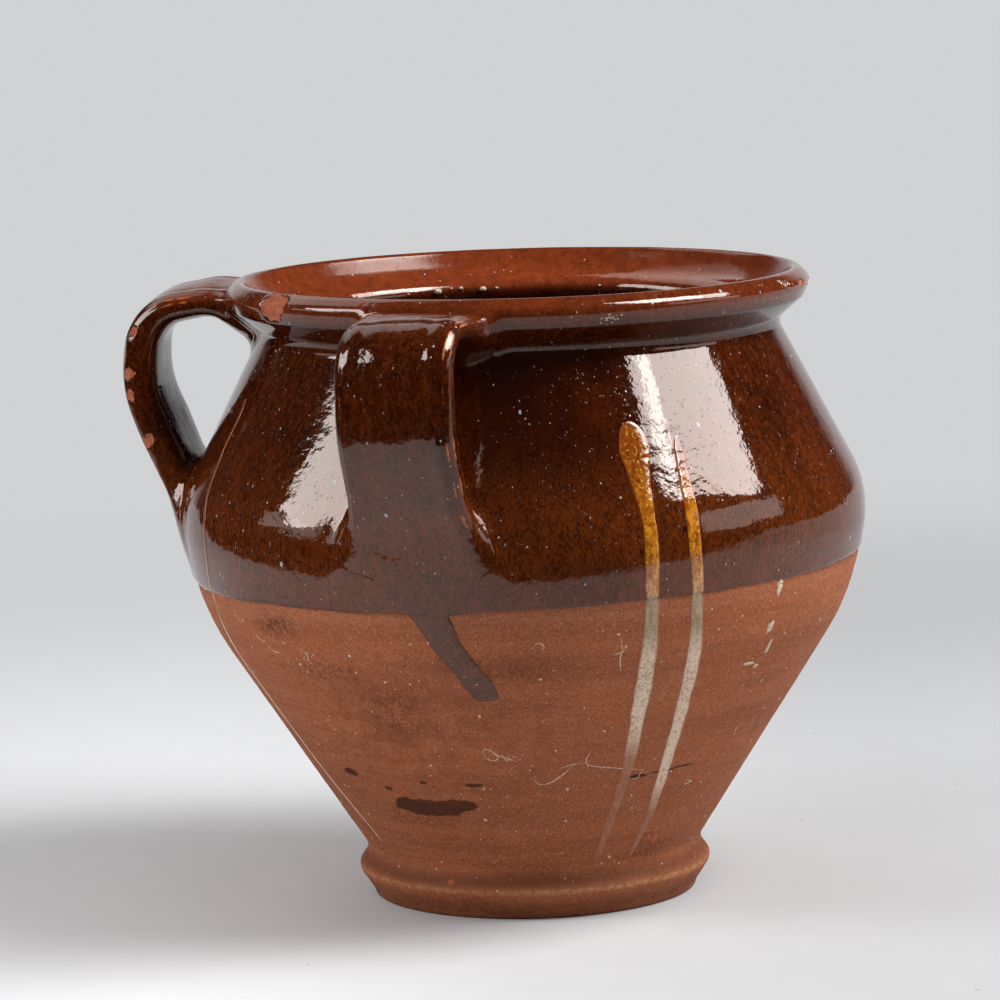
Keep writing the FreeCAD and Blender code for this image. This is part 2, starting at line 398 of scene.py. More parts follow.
def glaze_relief(angle, place):
    """How far the glaze's surface lies inside the outline, always below 0."""
    radius, height, _, _ = outline.at(place)
    points = around(angle, radius, height)
    relief = 0.014 * wheel_relief(points, 0.004) + 0.035 * soft_noise(points, 0.012, 41)
    relief += 0.08 * soft_noise(points, 0.032, 42) + 0.012 * soft_noise(points, 0.006, 43)
    slanted = height + 0.0007 * np.sin(np.radians(angle + 30))
    for groove, depth, half_width in GROOVES:
        relief -= (place < LIP_PLACE) * depth * bump_at(slanted, groove, half_width)
    return relief * MM - GLAZE_INSET


def clay_relief(angle, place):
    """How far the bare clay's surface lies inside its own even surface, always below 0."""
    sizes = bpy.context.scene.jar_sizes
    radius, height, _, _ = outline.at(place)
    points = around(angle, radius, height)
    relief = sizes.wheel_lines * wheel_relief(points, 0.0024)
    relief += 0.00006 * soft_noise(points, 0.018, 51) + 0.00005 * soft_noise(points, 0.007, 52)
    relief += 0.00003 * soft_noise(points, 0.0028, 53)
    dents = np.clip(soft_noise(points, 0.011, 54) - 0.55, 0, 1) * 0.0004
    return relief - dents - CLAY_INSET


def surface_offset(angle, place):
    """The outside surface against the outline: the glaze above the dip line, the clay below."""
    sizes = bpy.context.scene.jar_sizes
    clay = clay_relief(angle, place) - sizes.glaze_thickness
    glaze = glaze_relief(angle, place) + COAT_LIFT
    share = eased((place - wall_place(dip_line(angle))) / COAT_EDGE)
    return clay + (glaze - clay) * share


def on_surface(angle, place, offset):
    """Points of the jar's outline, moved out by offset."""
    radius, height, out_radius, out_height = outline.at(place)
    return around(angle, radius + out_radius * offset, height + out_height * offset)


def spread(*stops):
    """Rising distances through stops of (distance, spacing up to the next stop)."""
    rows = []
    for (start, spacing), (end, _) in zip(stops, stops[1:]):
        count = max(int(round((end - start) / spacing)), 1)
        rows.append(np.linspace(start, end, count, endpoint=False))
    return np.concatenate(rows + [[stops[-1][0]]])


def outline_nearest(points, first, last):
    """Distance from points to a stretch of the outline, how far out they are, and its normal."""
    nodes = slice(first, last, 3)
    across = np.hypot(points[:, 0], points[:, 1])[:, None] - outline.radius[nodes]
    up = points[:, 2, None] - outline.height[nodes]
    gap = np.hypot(across, up)
    nearest = gap.argmin(1)
    picked = np.arange(len(points)), nearest
    out_radius = outline.out_radius[nodes][nearest]
    out_height = outline.out_height[nodes][nearest]
    out = across[picked] * out_radius + up[picked] * out_height
    return gap[picked], out, out_radius, out_height


def jar_distance(points):
    """Signed distance from points to the jar's outer surface, positive outside."""
    gap, out, _, _ = outline_nearest(points, 0, OUTSIDE.stop)
    return np.where(out < 0, -1, 1) * gap


def tucked(points):
    """The points, with any that would stand out inside the jar moved back into its wall."""
    radius, height = np.hypot(points[:, 0], points[:, 1]), points[:, 2]
    near = np.nonzero((radius < LIP_TOP[0] - 0.0005) | (height < FREE_HEIGHT))[0]
    _, out, out_radius, out_height = outline_nearest(points[near], OUTSIDE.stop, None)
    back = np.maximum(out + TUCKED_DEPTH, 0)
    result = points.copy()
    result[near, :2] *= (1 - back * out_radius / radius[near])[:, None]
    result[near, 2] -= back * out_height
    return result


def merged(first, second, size):
    """A smooth least of two distances."""
    overlap = np.maximum(size - np.abs(first - second), 0) / size
    return np.minimum(first, second) - overlap * overlap * size / 4


def swelling(points, normals, other_distance, size, sink):
    """How far surface points move out along their normals to merge with another surface."""
    most_share, buried_depth = 0.26, 0.0015
    start = other_distance(points)
    rise = np.zeros(len(points))
    near = np.nonzero((start < size) & (start > -size))[0]
    for _ in range(8):
        there = points[near] + normals[near] * rise[near, None]
        gap = merged(rise[near], other_distance(there), size)
        rise[near] = np.clip(rise[near] - gap, 0, size * most_share)
    rise = np.where(start < 0, rise * eased(1 + start / size), rise)
    return rise - sink * eased(-start / buried_depth)


def lip_limit(height):
    """The share of the smoothed-in clay that is left near the top of the lip."""
    first_height, reach, share_gone = 0.1975, 0.004, 0.85
    return 1 - share_gone * eased((height - first_height) / reach)


# ---------------------------------------------------------------- meshes


def ring_faces(rows, columns):
    """Quads between rings of points, each ring closed."""
    row = np.arange(rows - 1)[:, None] * columns
    column = np.arange(columns)[None, :]
    following = (column + 1) % columns
    quads = [row + column, row + following, row + columns + following, row + columns + column]
    return np.stack(quads, -1).reshape(-1, 4).tolist()


def cap_faces(first, columns, centre, upward):
    """A fan of triangles from one ring to a centre point."""
    ring = [(first + i, first + (i + 1) % columns) for i in range(columns)]
    return [[a, b, centre] if upward else [b, a, centre] for a, b in ring]


def make_piece(name, points, faces, material, values=None):
    """A smooth-shaded mesh object with a material and named values at its points."""
    mesh = bpy.data.meshes.new(name)
    mesh.from_pydata(np.asarray(points).reshape(-1, 3).tolist(), [], faces)
    mesh.shade_smooth()
    mesh.materials.append(material)
    for title, numbers in (values or {}).items():
        layer = mesh.attributes.new(title, "FLOAT", "POINT")
        layer.data.foreach_set("value", np.asarray(numbers, np.float32).ravel())
    mesh.validate()
    piece = bpy.data.objects.new(name, mesh)
    bpy.context.scene.collection.objects.link(piece)
    return piece


def closed_rings(rings):
    """Points and faces of a closed surface through rings, with a centre point at each end."""
    rows, columns, _ = rings.shape
    points = np.concatenate([rings.reshape(-1, 3), [rings[0].mean(0), rings[-1].mean(0)]])
    faces = ring_faces(rows, columns)
    faces += cap_faces(0, columns, rows * columns, False)
    faces += cap_faces((rows - 1) * columns, columns, rows * columns + 1, True)
    return points, faces


def turned_surface(name, rings, material, values):
    """A closed piece from rings of points, with named values at the points of the rings."""
    points, faces = closed_rings(rings)
    padded = {k: np.concatenate([v.ravel(), [v[0].mean(), v[-1].mean()]])
              for k, v in values.items()}
    return make_piece(name, points, faces, material, padded)


def grid_normals(rings):
    """Outward normals of a grid whose columns close on themselves."""
    along = np.gradient(rings, axis=0)
    wrapped = np.concatenate([rings[:, -1:], rings, rings[:, :1]], axis=1)
    across = (wrapped[:, 2:] - wrapped[:, :-2]) / 2
    normals = np.cross(across, along)
    size = np.linalg.norm(normals, axis=-1, keepdims=True)
    return normals / np.maximum(size, 1e-12)


def solid_distance(tree, points):
    """Signed distance from points to a closed solid, positive outside."""
    result = np.full(len(points), 1.0)
    for i, point in enumerate(points):
        hit, normal, _, gap = tree.find_nearest(Vector(point), 0.03)
        if hit is not None:
            result[i] = math.copysign(gap, (Vector(point) - hit).dot(normal))
    return result


def smooth_through(knots, count):
    """Evenly spread values on a smooth curve through knots."""
    knots = np.asarray(knots, float)
    known = np.arange(len(knots))
    wanted = np.linspace(0, len(knots) - 1, count)
    slope = np.gradient(knots, axis=0)
    low = np.minimum(wanted.astype(int), len(knots) - 2)
    t = (wanted - known[low]).reshape((-1,) + (1,) * (knots.ndim - 1))
    a, b, m, n = knots[low], knots[low + 1], slope[low], slope[low + 1]
    return ((2 * t ** 3 - 3 * t ** 2 + 1) * a + (t ** 3 - 2 * t ** 2 + t) * m
            + (3 * t ** 2 - 2 * t ** 3) * b + (t ** 3 - t ** 2) * n)


def keep(piece, slot, *nodes):
    """Puts a piece on the jar's body, in place of CAD nodes. Its slot is not used."""
    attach(piece, "root")
    if nodes:
        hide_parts(*nodes)


# ---------------------------------------------------------------- material helpers


def fill_sockets(node, values):
    """Links or sets a node's inputs, by their names or numbers."""
    for name, value in values.items():
        socket = node.inputs[name]
        if isinstance(value, bpy.types.NodeSocket):
            node.id_data.links.new(value, socket)
        elif socket.type == "RGBA":
            socket.default_value = (*value[:3], 1)
        else:
            socket.default_value = value


def add(tree, kind, sockets=None, **settings):
    """A new node with its settings and its sockets' values or links."""
    node = tree.nodes.new(kind)
    for name, value in settings.items():
        setattr(node, name, value)
    fill_sockets(node, sockets or {})
    return node


def maths(tree, operation, *values, clamp=False):
    """The result of a sum on values."""
    node = add(tree, "ShaderNodeMath", dict(enumerate(values)), operation=operation,
               use_clamp=clamp)
    return node.outputs[0]


def times(tree, first, second):
    return maths(tree, "MULTIPLY", first, second)


def times_plus(tree, value, factor, added):
    return maths(tree, "MULTIPLY_ADD", value, factor, added)


def mixed(tree, factor, first, second):
    """A colour mixed from two colours."""
    node = add(tree, "ShaderNodeMix", {0: factor, 6: first, 7: second}, data_type="RGBA")
    return node.outputs[2]


def ranged(tree, value, low, high, to_low=0.0, to_high=1.0):
    """A value's range mapped smoothly to another."""
    node = add(tree, "ShaderNodeMapRange",
               {"Value": value, "From Min": low, "From Max": high,
                "To Min": to_low, "To Max": to_high}, interpolation_type="SMOOTHSTEP")
    return node.outputs["Result"]


def scaled(tree, vector, factors):
    """A vector with each of its parts scaled."""
    node = add(tree, "ShaderNodeVectorMath", {0: vector, 1: factors}, operation="MULTIPLY")
    return node.outputs[0]


def noise(tree, vector, per_metre, detail=2.0, roughness=0.5):
    """Noise from 0 to 1, with a number of lumps to the metre."""
    node = add(tree, "ShaderNodeTexNoise",
               {"Vector": vector, "Scale": per_metre, "Detail": detail, "Roughness": roughness})
    return node.outputs["Fac"]


def cloudy(tree, vector, per_metre, detail, roughness, low, high, *result):
    """Noise whose range from low to high is mapped smoothly to another, or else to 0 to 1."""
    return ranged(tree, noise(tree, vector, per_metre, detail, roughness), low, high, *result)


def attribute(tree, name):
    """A value of the mesh's points."""
    return add(tree, "ShaderNodeAttribute", attribute_name=name).outputs["Fac"]


def object_place(tree):
    """A point's place on its piece, in metres."""
    return add(tree, "ShaderNodeTexCoord").outputs["Object"]


def height_of(tree, place):
    """The height part of a place."""
    return add(tree, "ShaderNodeSeparateXYZ", {0: place}).outputs[2]


def distance_along(tree, place, direction):
    """How far a place lies along a direction."""
    node = add(tree, "ShaderNodeVectorMath", {0: place, 1: tuple(direction)},
               operation="DOT_PRODUCT")
    return node.outputs["Value"]


def shade(tones, strength):
    """A colour made darker by a factor."""
    return tuple(strength * tone for tone in tones)


def empty_tree(owner, output_kind):
    """The emptied node tree of a material or a world, and its surface socket."""
    owner.use_nodes = True
    tree = owner.node_tree
    tree.nodes.clear()
    return tree, tree.nodes.new(output_kind).inputs["Surface"]


def new_material(name):
    """A material with a Principled shader, ready for its inputs."""
    material = bpy.data.materials.new(name)
    tree, surface = empty_tree(material, "ShaderNodeOutputMaterial")
    shader = tree.nodes.new("ShaderNodeBsdfPrincipled")
    tree.links.new(shader.outputs[0], surface)
    return material, tree, shader


def feed(shader, **inputs):
    """Links or sets a shader's inputs, by their names with underscores for spaces."""
    fill_sockets(shader, {name.replace("_", " "): value for name, value in inputs.items()})


def bumped(tree, *layers):
    """A normal bumped by layers of (height, metres for a height of 1), each over the last."""
    under = {}
    for height, distance in layers:
        bump = {"Height": height, "Distance": distance, "Strength": 1.0, **under}
        under = {"Normal": add(tree, "ShaderNodeBump", bump).outputs[0]}
    return under["Normal"]


def new_group(name, inputs, outputs):
    """An empty node group. Its sockets hold a number each, apart from the vector Place."""
    tree = bpy.data.node_groups.new(name, "ShaderNodeTree")
    for side, titles in (("INPUT", inputs), ("OUTPUT", outputs)):
        for title in titles:
            kind = "NodeSocketVector" if title == "Place" else "NodeSocketFloat"
            tree.interface.new_socket(title, in_out=side, socket_type=kind)
    given, put = tree.nodes.new("NodeGroupInput"), tree.nodes.new("NodeGroupOutput")
    return tree, given.outputs, put.inputs


def use_group(tree, name, **sockets):
    """Places a shared group in a material, building it on first use."""
    group = bpy.data.node_groups.get(name) or GROUPS[name]()
    titled = {title.capitalize(): value for title, value in sockets.items()}
    return add(tree, "ShaderNodeGroup", titled, node_tree=group).outputs


def ragged_mask(tree, place, name, size, roughness):
    """A named value of the mesh's points as a mask with a ragged edge."""
    return use_group(tree, "Ragged edge", place=place, mask=attribute(tree, name), size=size,
                     roughness=roughness)["Mask"]


def flecks(tree, place, size, stretch, amount):
    """A mask of small grains of a size, drawn out by stretch, over a share of the surface."""
    return use_group(tree, "Flecks", place=place, size=size, stretch=stretch,
                     amount=amount)["Mask"]


def glints(tree, place, spacing, radius, share):
    """A mask of sparse round crystals."""
    return use_group(tree, "Glints", place=place, spacing=spacing, radius=radius,
                     share=share)["Mask"]


def flecks_group():
    """Scattered flecks: a mask of small grains, drawn out along the height by Stretch."""
    tree, given, put = new_group("Flecks", ("Place", "Size", "Stretch", "Amount"), ("Mask",))
    tall = add(tree, "ShaderNodeCombineXYZ", {0: 1.0, 1: 1.0})
    tree.links.new(maths(tree, "DIVIDE", 1.0, given["Stretch"]), tall.inputs[2])
    vector = scaled(tree, given["Place"], tall.outputs[0])
    per_metre = maths(tree, "DIVIDE", 1.0, given["Size"])
    grain = noise(tree, vector, per_metre, 2.0, 0.6)
    clumps = noise(tree, vector, times(tree, per_metre, 0.13), 2.0, 0.5)
    level = times_plus(tree, clumps, 0.35, grain)
    edge = maths(tree, "SUBTRACT", 1.0, given["Amount"])
    above = maths(tree, "SUBTRACT", level, edge)
    tree.links.new(ranged(tree, above, 0.0, 0.06), put["Mask"])
    return tree


def glints_group():
    """Sparse round crystals: a Share of the cells holds one each."""
    tree, given, put = new_group("Glints", ("Place", "Spacing", "Radius", "Share"), ("Mask",))
    per_metre = maths(tree, "DIVIDE", 1.0, given["Spacing"])
    cells = add(tree, "ShaderNodeTexVoronoi", {"Vector": given["Place"], "Scale": per_metre})
    chance = add(tree, "ShaderNodeSeparateColor", {0: cells.outputs["Color"]}).outputs
    chosen = maths(tree, "LESS_THAN", chance[0], given["Share"])
    ragged = noise(tree, given["Place"], times(tree, per_metre, 4.0))
    reach = times(tree, given["Radius"], times(tree, ragged, 2.0))
    reach = times(tree, reach, maths(tree, "ADD", chance[1], 0.4))
    distance = maths(tree, "DIVIDE", cells.outputs["Distance"], per_metre)
    near = ranged(tree, maths(tree, "SUBTRACT", reach, distance), 0.0, 0.00012)
    tree.links.new(times(tree, near, chosen), put["Mask"])
    return tree


def wheel_group():
    """Fine lines left by throwing, drawn out round the jar."""
    tree, given, put = new_group("Wheel lines", ("Place", "Spacing"), ("Height", "Streak"))
    drawn = scaled(tree, given["Place"], (0.06, 0.06, 1.0))
    per_metre = maths(tree, "DIVIDE", 1.0, given["Spacing"])
    fine = noise(tree, drawn, per_metre, 3.0, 0.6)
    broad = noise(tree, drawn, times(tree, per_metre, 0.22), 2.0, 0.5)
    tree.links.new(times_plus(tree, broad, 0.5, fine), put["Height"])
    tree.links.new(broad, put["Streak"])
    return tree


def ragged_group():
    """A mask worn ragged at its edge by noise."""
    tree, given, put = new_group(
        "Ragged edge", ("Place", "Mask", "Size", "Roughness"), ("Mask",))
    per_metre = maths(tree, "DIVIDE", 1.0, given["Size"])
    grain = maths(tree, "SUBTRACT", noise(tree, given["Place"], per_metre, 4.0, 0.6), 0.5)
    shifted = times_plus(tree, grain, given["Roughness"], given["Mask"])
    tree.links.new(ranged(tree, shifted, 0.42, 0.58), put["Mask"])
    return tree


GROUPS = {"Flecks": flecks_group, "Glints": glints_group, "Wheel lines": wheel_group,
          "Ragged edge": ragged_group}


# ---------------------------------------------------------------- materials

# Colours that only one finish uses
DARK_FOOT_BAND = (0.118, 0.035, 0.012)
RUN_SOURCE = (0.17, 0.031, 0.003)
RUN_LIGHT = (0.66, 0.38, 0.05)


def glaze_tint(tree, place, inside):
    """The glaze's colour: clouded, mottled, redder inside, thin on the edges, and painted shade.
    """
    tones = bpy.context.scene.jar_colours
    flowing = scaled(tree, place, (1, 1, 0.45))
    cloud = cloudy(tree, flowing, 48, 4, 0.6, 0.32, 0.68)
    tint = mixed(tree, cloud, tones.glaze_deep_and_shade, tones.glaze)
    # The mesh's deep value is painted shade, on the front of the shoulder and inside below the
    # throat
    deep = attribute(tree, "deep")
    mottle = cloudy(tree, flowing, 560, 4, 0.65, 0.36, 0.70, 0.0, 0.20)
    mottle = times(tree, mottle, times_plus(tree, deep, -0.7, 1.0))
    tint = mixed(tree, mottle, tint, tones.glaze_thin)
    tint = mixed(tree, times(tree, deep, 0.75), tint, tones.glaze_deep_and_shade)
    height = height_of(tree, place)
    tint = mixed(tree, ranged(tree, height, 0.130, 0.168, 0.22, 0.0), tint, tones.glaze_thin)
    uneven = cloudy(tree, place, 260, 5, 0.7, 0.32, 0.66, 0.45, 0.80)
    tint = mixed(tree, times(tree, inside, uneven), tint, tones.glaze_red)
    thin = ragged_mask(tree, place, "thin", 0.0022, 0.8)
    tint = mixed(tree, times(tree, thin, 0.9), tint, tones.glaze_edge)
    specks = flecks(tree, place, 0.0008, 2.0, 0.32)
    fewer = times_plus(tree, inside, -0.35, 0.5)
    tint = mixed(tree, times(tree, specks, fewer), tint, tones.speck)
    spots = flecks(tree, place, 0.0019, 1.6, 0.17)
    fewer = times_plus(tree, inside, -0.5, 0.7)
    return mixed(tree, times(tree, spots, fewer), tint, tones.speck)


def crystals_and_painted_glints(tree, place):
    """A mask of pale crystals in the glaze, in clusters, that also stand in for tiny painted
    glints of light.
    """
    clustered = cloudy(tree, place, 70, 3, 0.6, 0.42, 0.62, 0.25, 1.0)
    drawn = scaled(tree, place, (1, 1, 0.6))
    small = glints(tree, drawn, 0.0018, 0.00025, 0.42)
    flakes = glints(tree, drawn, 0.0064, 0.00046, 0.35)
    return maths(tree, "MAXIMUM", times(tree, small, clustered), times(tree, flakes, 0.7))


def glaze_skin(tree, place, bare):
    """The glaze's surface: waves, pimples, pits, and grit where it is chipped."""
    pits = times(tree, glints(tree, place, 0.0030, 0.00028, 0.22), -1.0)
    grit = times(tree, noise(tree, place, 1400, 3, 0.7), bare)
    return bumped(tree, (noise(tree, place, 240, 1, 0.4), 0.00007),
                  (noise(tree, place, 640, 1, 0.5), 0.000032),
                  (noise(tree, place, 1500, 2, 0.5), 0.000008),
                  (glints(tree, place, 0.0017, 0.00036, 0.5), 0.00003),
                  (pits, 0.00007), (grit, 0.0006))


def glaze_material():
    """Deep brown lead glaze: specks, glints, thin orange edges and raw chips."""
    if "deep_brown_glaze" in bpy.data.materials:
        return bpy.data.materials["deep_brown_glaze"]
    tones = bpy.context.scene.jar_colours
    material, tree, shader = new_material("deep_brown_glaze")
    place = object_place(tree)
    inside = attribute(tree, "inside")
    # Pale crystals, partly painted glints of light
    pale = crystals_and_painted_glints(tree, place)
    tint = mixed(tree, pale, glaze_tint(tree, place, inside), tones.glint)
    bare = ragged_mask(tree, place, "bare", 0.0016, 0.5)
    broken = cloudy(tree, place, 800, 4, 0.75, 0.38, 0.62, 0.0, 0.7)
    tint = mixed(tree, bare, tint, mixed(tree, broken, tones.chip, tones.clay_dark))
    rough = cloudy(tree, place, 160, 3, 0.6, 0.3, 0.8, 0.03, 0.09)
    dish = attribute(tree, "dish")
    for mask, added in ((dish, 0.11), (bare, 0.75), (pale, 0.3)):
        rough = times_plus(tree, mask, added, rough)
    sheen = times_plus(tree, dish, -0.34, 0.5)
    feed(shader, Base_Color=tint, Roughness=rough, IOR=1.58, Specular_IOR_Level=sheen,
         Specular_Tint=(1.0, 0.87, 0.80), Normal=glaze_skin(tree, place, bare))
    return material


def clay_tint(tree, place, lines):
    """The clay's own colour: clouded, dusty, streaked by throwing, and grainy."""
    tones = bpy.context.scene.jar_colours
    cloud = cloudy(tree, place, 17, 4, 0.6, 0.3, 0.7)
    tint = mixed(tree, times(tree, cloud, 0.28), tones.clay, tones.clay_dark)
    dusty = cloudy(tree, scaled(tree, place, (1, 1, 1.6)), 34, 5, 0.65, 0.5, 0.78)
    tint = mixed(tree, times(tree, dusty, 0.35), tint, tones.clay_pale)
    streak = ranged(tree, lines["Streak"], 0.35, 0.7, 0.0, 0.30)
    tint = mixed(tree, streak, tint, tones.clay_dark)
    fine = ranged(tree, lines["Height"], 0.66, 0.94, 0.0, 0.30)
    tint = mixed(tree, fine, tint, tones.clay_dark)
    grain = cloudy(tree, place, 1150, 3, 0.75, 0.42, 0.62, 0.0, 0.62)
    tint = mixed(tree, grain, tint, tones.clay_dark)
    grog = cloudy(tree, place, 1500, 2, 0.7, 0.56, 0.66, 0.0, 0.62)
    return mixed(tree, grog, tint, tones.clay_pale)


def broken(tree, place, title, per_metre, roughness, low, high):
    """A named value of the mesh's points, broken up by noise."""
    grain = noise(tree, place, per_metre, 4, roughness)
    return times(tree, attribute(tree, title), ranged(tree, grain, low, high))


def clay_material():
    """Bare red earthenware: grit, throwing lines, scorch marks, dust and lime."""
    tones = bpy.context.scene.jar_colours
    material, tree, shader = new_material("bare_clay")
    place = object_place(tree)
    lines = use_group(tree, "Wheel lines", place=place, spacing=0.0016)
    stain = ragged_mask(tree, place, "stain", 0.006, 0.9)
    scorched = broken(tree, place, "scorch", 150, 0.65, 0.38, 0.7)
    pocks = broken(tree, place, "rough_patch", 620, 0.75, 0.46, 0.60)
    rust = ragged_mask(tree, place, "rust", 0.002, 0.8)
    crust = broken(tree, place, "crust", 420, 0.7, 0.4, 0.62)
    dusted = mixed(tree, ranged(tree, height_of(tree, place), 0.012, 0.018), tones.deposit,
                   tones.lime)
    pits = glints(tree, place, 0.0034, 0.00032, 0.3)
    lime = glints(tree, place, 0.0062, 0.00034, 0.18)
    tint = clay_tint(tree, place, lines)
    for mask, strength, over in (
            (stain, 0.93, shade(tones.clay_dark, 0.28)), (scorched, 0.6, tones.clay_dark),
            (pocks, 0.8, shade(tones.clay_dark, 0.6)),
            (attribute(tree, "foot"), 0.85, DARK_FOOT_BAND), (rust, 0.5, tones.rust),
            (crust, 0.75, dusted), (pits, 0.55, shade(tones.clay_dark, 0.35)),
            (lime, 0.7, tones.lime)):
        tint = mixed(tree, times(tree, mask, strength), tint, over)
    rough = cloudy(tree, place, 300, 3, 0.6, 0.3, 0.7, 0.62, 0.85)
    skin = bumped(tree, (lines["Height"], 0.00017), (noise(tree, place, 650, 4, 0.7), 0.00024),
                  (pocks, -0.0002), (times(tree, pits, -1.0), 0.00016))
    feed(shader, Base_Color=tint, Roughness=rough, IOR=1.45, Specular_IOR_Level=0.2,
         Normal=skin)
    return material


def amber_tint(tree, place, ragged, faint):
    """The clear glaze over the brown: darkest at its source, specked dark and light."""
    tones = bpy.context.scene.jar_colours
    deep = cloudy(tree, scaled(tree, place, (1, 1, 0.5)), 420, 4, 0.65, 0.38, 0.62)
    amber = mixed(tree, deep, tones.amber, tones.amber_deep)
    source = ranged(tree, ragged, 0.140, 0.158, 0.0, 0.92)
    amber = mixed(tree, source, amber, RUN_SOURCE)
    drawn = scaled(tree, place, (1, 1, 0.6))
    dark = cloudy(tree, drawn, 850, 3, 0.7, 0.50, 0.60, 0.0, 0.6)
    amber = mixed(tree, dark, amber, tones.glaze)
    light = cloudy(tree, drawn, 1150, 2, 0.7, 0.57, 0.66, 0.0, 0.62)
    amber = mixed(tree, light, amber, RUN_LIGHT)
    return mixed(tree, faint, amber, shade(tones.glaze_thin, 0.6))


def run_material(name, faint):
    """A clear run: amber over the brown glaze, olive under the dip line, cream lower down."""
    tones = bpy.context.scene.jar_colours
    material, tree, shader = new_material(name)
    place = object_place(tree)
    height = height_of(tree, place)
    ragged = times_plus(tree, noise(tree, place, 240, 3, 0.6), 0.006, height)
    below = ranged(tree, ragged, 0.1125, 0.1165, 1.0, 0.0)
    tint = mixed(tree, below, amber_tint(tree, place, ragged, faint), tones.olive)
    low = ranged(tree, ragged, 0.092, 0.106, 1.0, 0.0)
    tint = mixed(tree, low, tint, tones.cream)
    middle = attribute(tree, "middle")
    stripe = cloudy(tree, scaled(tree, place, (1, 1, 0.2)), 500, 2, 0.6, 0.4, 0.6)
    stripe = times(tree, stripe, ranged(tree, ragged, 0.118, 0.132, 1.0, 0.0))
    tint = mixed(tree, times(tree, stripe, 0.22), tint, tones.cream)
    specks = flecks(tree, place, 0.0010, 2.0, 0.30)
    tint = mixed(tree, times(tree, specks, 0.4), tint, tones.amber_deep)
    grain = cloudy(tree, place, 1300, 3, 0.75, 0.46, 0.62, 0.0, 0.36)
    thinned = ranged(tree, middle, 0.25, 0.85, 0.97, 0.0)
    worn = times(tree, maths(tree, "MAXIMUM", grain, thinned), below)
    patchy = cloudy(tree, place, 260, 4, 0.65, 0.35, 0.65, 0.90, 1.0)
    fade = times(tree, attribute(tree, "fade"), patchy)
    clay = mixed(tree, ranged(tree, grain, 0.0, 0.36, 0.35, 0.9), tones.clay, tones.clay_dark)
    tint = mixed(tree, maths(tree, "MAXIMUM", worn, fade), tint, clay)
    rim = maths(tree, "SUBTRACT", 1.0, below)
    thick = times(tree, ranged(tree, middle, 0.05, 0.75, 0.85, 0.0), rim)
    tint = mixed(tree, thick, tint, tones.glaze_thin)
    rough = ranged(tree, height, 0.104, 0.114, 0.6, 0.07)
    skin = bumped(tree, (noise(tree, place, 240, 1, 0.4), 0.00008),
                  (noise(tree, place, 640, 1, 0.5), 0.00004),
                  (times(tree, grain, below), 0.0001))
    feed(shader, Base_Color=tint, Roughness=rough, IOR=1.55, Normal=skin)
    return material


def grainy_material(name, first, second, strength, per_metre, rough_range):
    """A matt, grainy finish of two mixed colours."""
    material, tree, shader = new_material(name)
    place = object_place(tree)
    grain = ranged(tree, noise(tree, place, per_metre, 3, 0.7), 0.35, 0.65)
    feed(shader, Base_Color=mixed(tree, times(tree, grain, strength), first, second),
         Roughness=ranged(tree, grain, 0.0, 1.0, *rough_range),
         Normal=bumped(tree, (noise(tree, place, 1500, 3, 0.7), 0.0003)))
    return material


def lime_material():
    """Dry lime and dust: pale and matt."""
    tones = bpy.context.scene.jar_colours
    return grainy_material("dry_lime", tones.lime, tones.clay, 0.55, 1300, (0.7, 0.9))


def stained_lime_material():
    """Crumbs: lime stained by the amber glaze."""
    tones = bpy.context.scene.jar_colours
    return grainy_material("stained_lime", tones.olive, tones.lime, 1.0, 900, (0.4, 0.7))


# ---------------------------------------------------------------- runs and straps

RUN_ROWS_PER_POINT = 14
RUN_SIDES = 15
# How deep under the surface a run's back lies
RUN_BACK = 0.0004


def rounded_end(share):
    """A quarter round from almost 0 to 1, over shares from 0 to 1."""
    return np.sqrt(np.clip(1 - (1 - np.clip(share, 0, 1)) ** 2, 0.0004, 1))


def wall_run(name, path, widths, thickness, material, seed, fade_from=0.0):
    """A run of glaze on the wall: a low rounded ridge along a path of (angle, height).

    Below the height fade_from it fades into the clay.
    """
    rows, sides = len(path) * RUN_ROWS_PER_POINT, RUN_SIDES
    line = smooth_through(path, rows)
    half = smooth_through(np.asarray(widths)[:, None], rows)[:, 0] / 2
    place = wall_place(line[:, 1])
    along = np.arange(rows) / (rows - 1)
    taper = rounded_end(along * rows / 7) * rounded_end((1 - along) * rows / 8)
    half = half * taper
    share = np.sin(np.linspace(-1, 1, sides) * math.pi / 2)
    radius = outline.at(place)[0]
    wavy = soft_noise(around(line[:, 0], radius, line[:, 1])[:, None] + [[0.3, 0, 0], [0.6, 0, 0]],
                      0.004, seed)
    left, right = half * (1 + 0.12 * wavy[:, 0]), half * (1 + 0.12 * wavy[:, 1])
    side = np.where(share < 0, left[:, None] * share, right[:, None] * share)
    angle = line[:, :1] + np.degrees(side / radius[:, None])
    reach = np.broadcast_to(place[:, None], angle.shape)
    dome = np.clip(1 - share ** 4, 0, 1) ** 0.6 * taper[:, None]
    base = surface_offset(angle, reach)
    crest = base + thickness * dome + 0.00001
    top = on_surface(angle, reach, np.minimum(crest, thickness))
    under = on_surface(angle, reach, base - RUN_BACK)
    rings = np.concatenate([top, under[:, ::-1][:, 1:-1]], axis=1)
    middle = np.broadcast_to(np.sqrt(1 - share ** 2), angle.shape)
    value = np.concatenate([middle, 0 * middle[:, 1:-1]], axis=1)
    nothing = np.zeros(value.shape)
    fade = nothing + eased((fade_from - line[:, 1:]) / 0.018)
    looks = dict.fromkeys(("thin", "bare", "inside", "deep"), nothing)
    return turned_surface(name, rings, material, {"middle": value, "fade": fade, **looks})


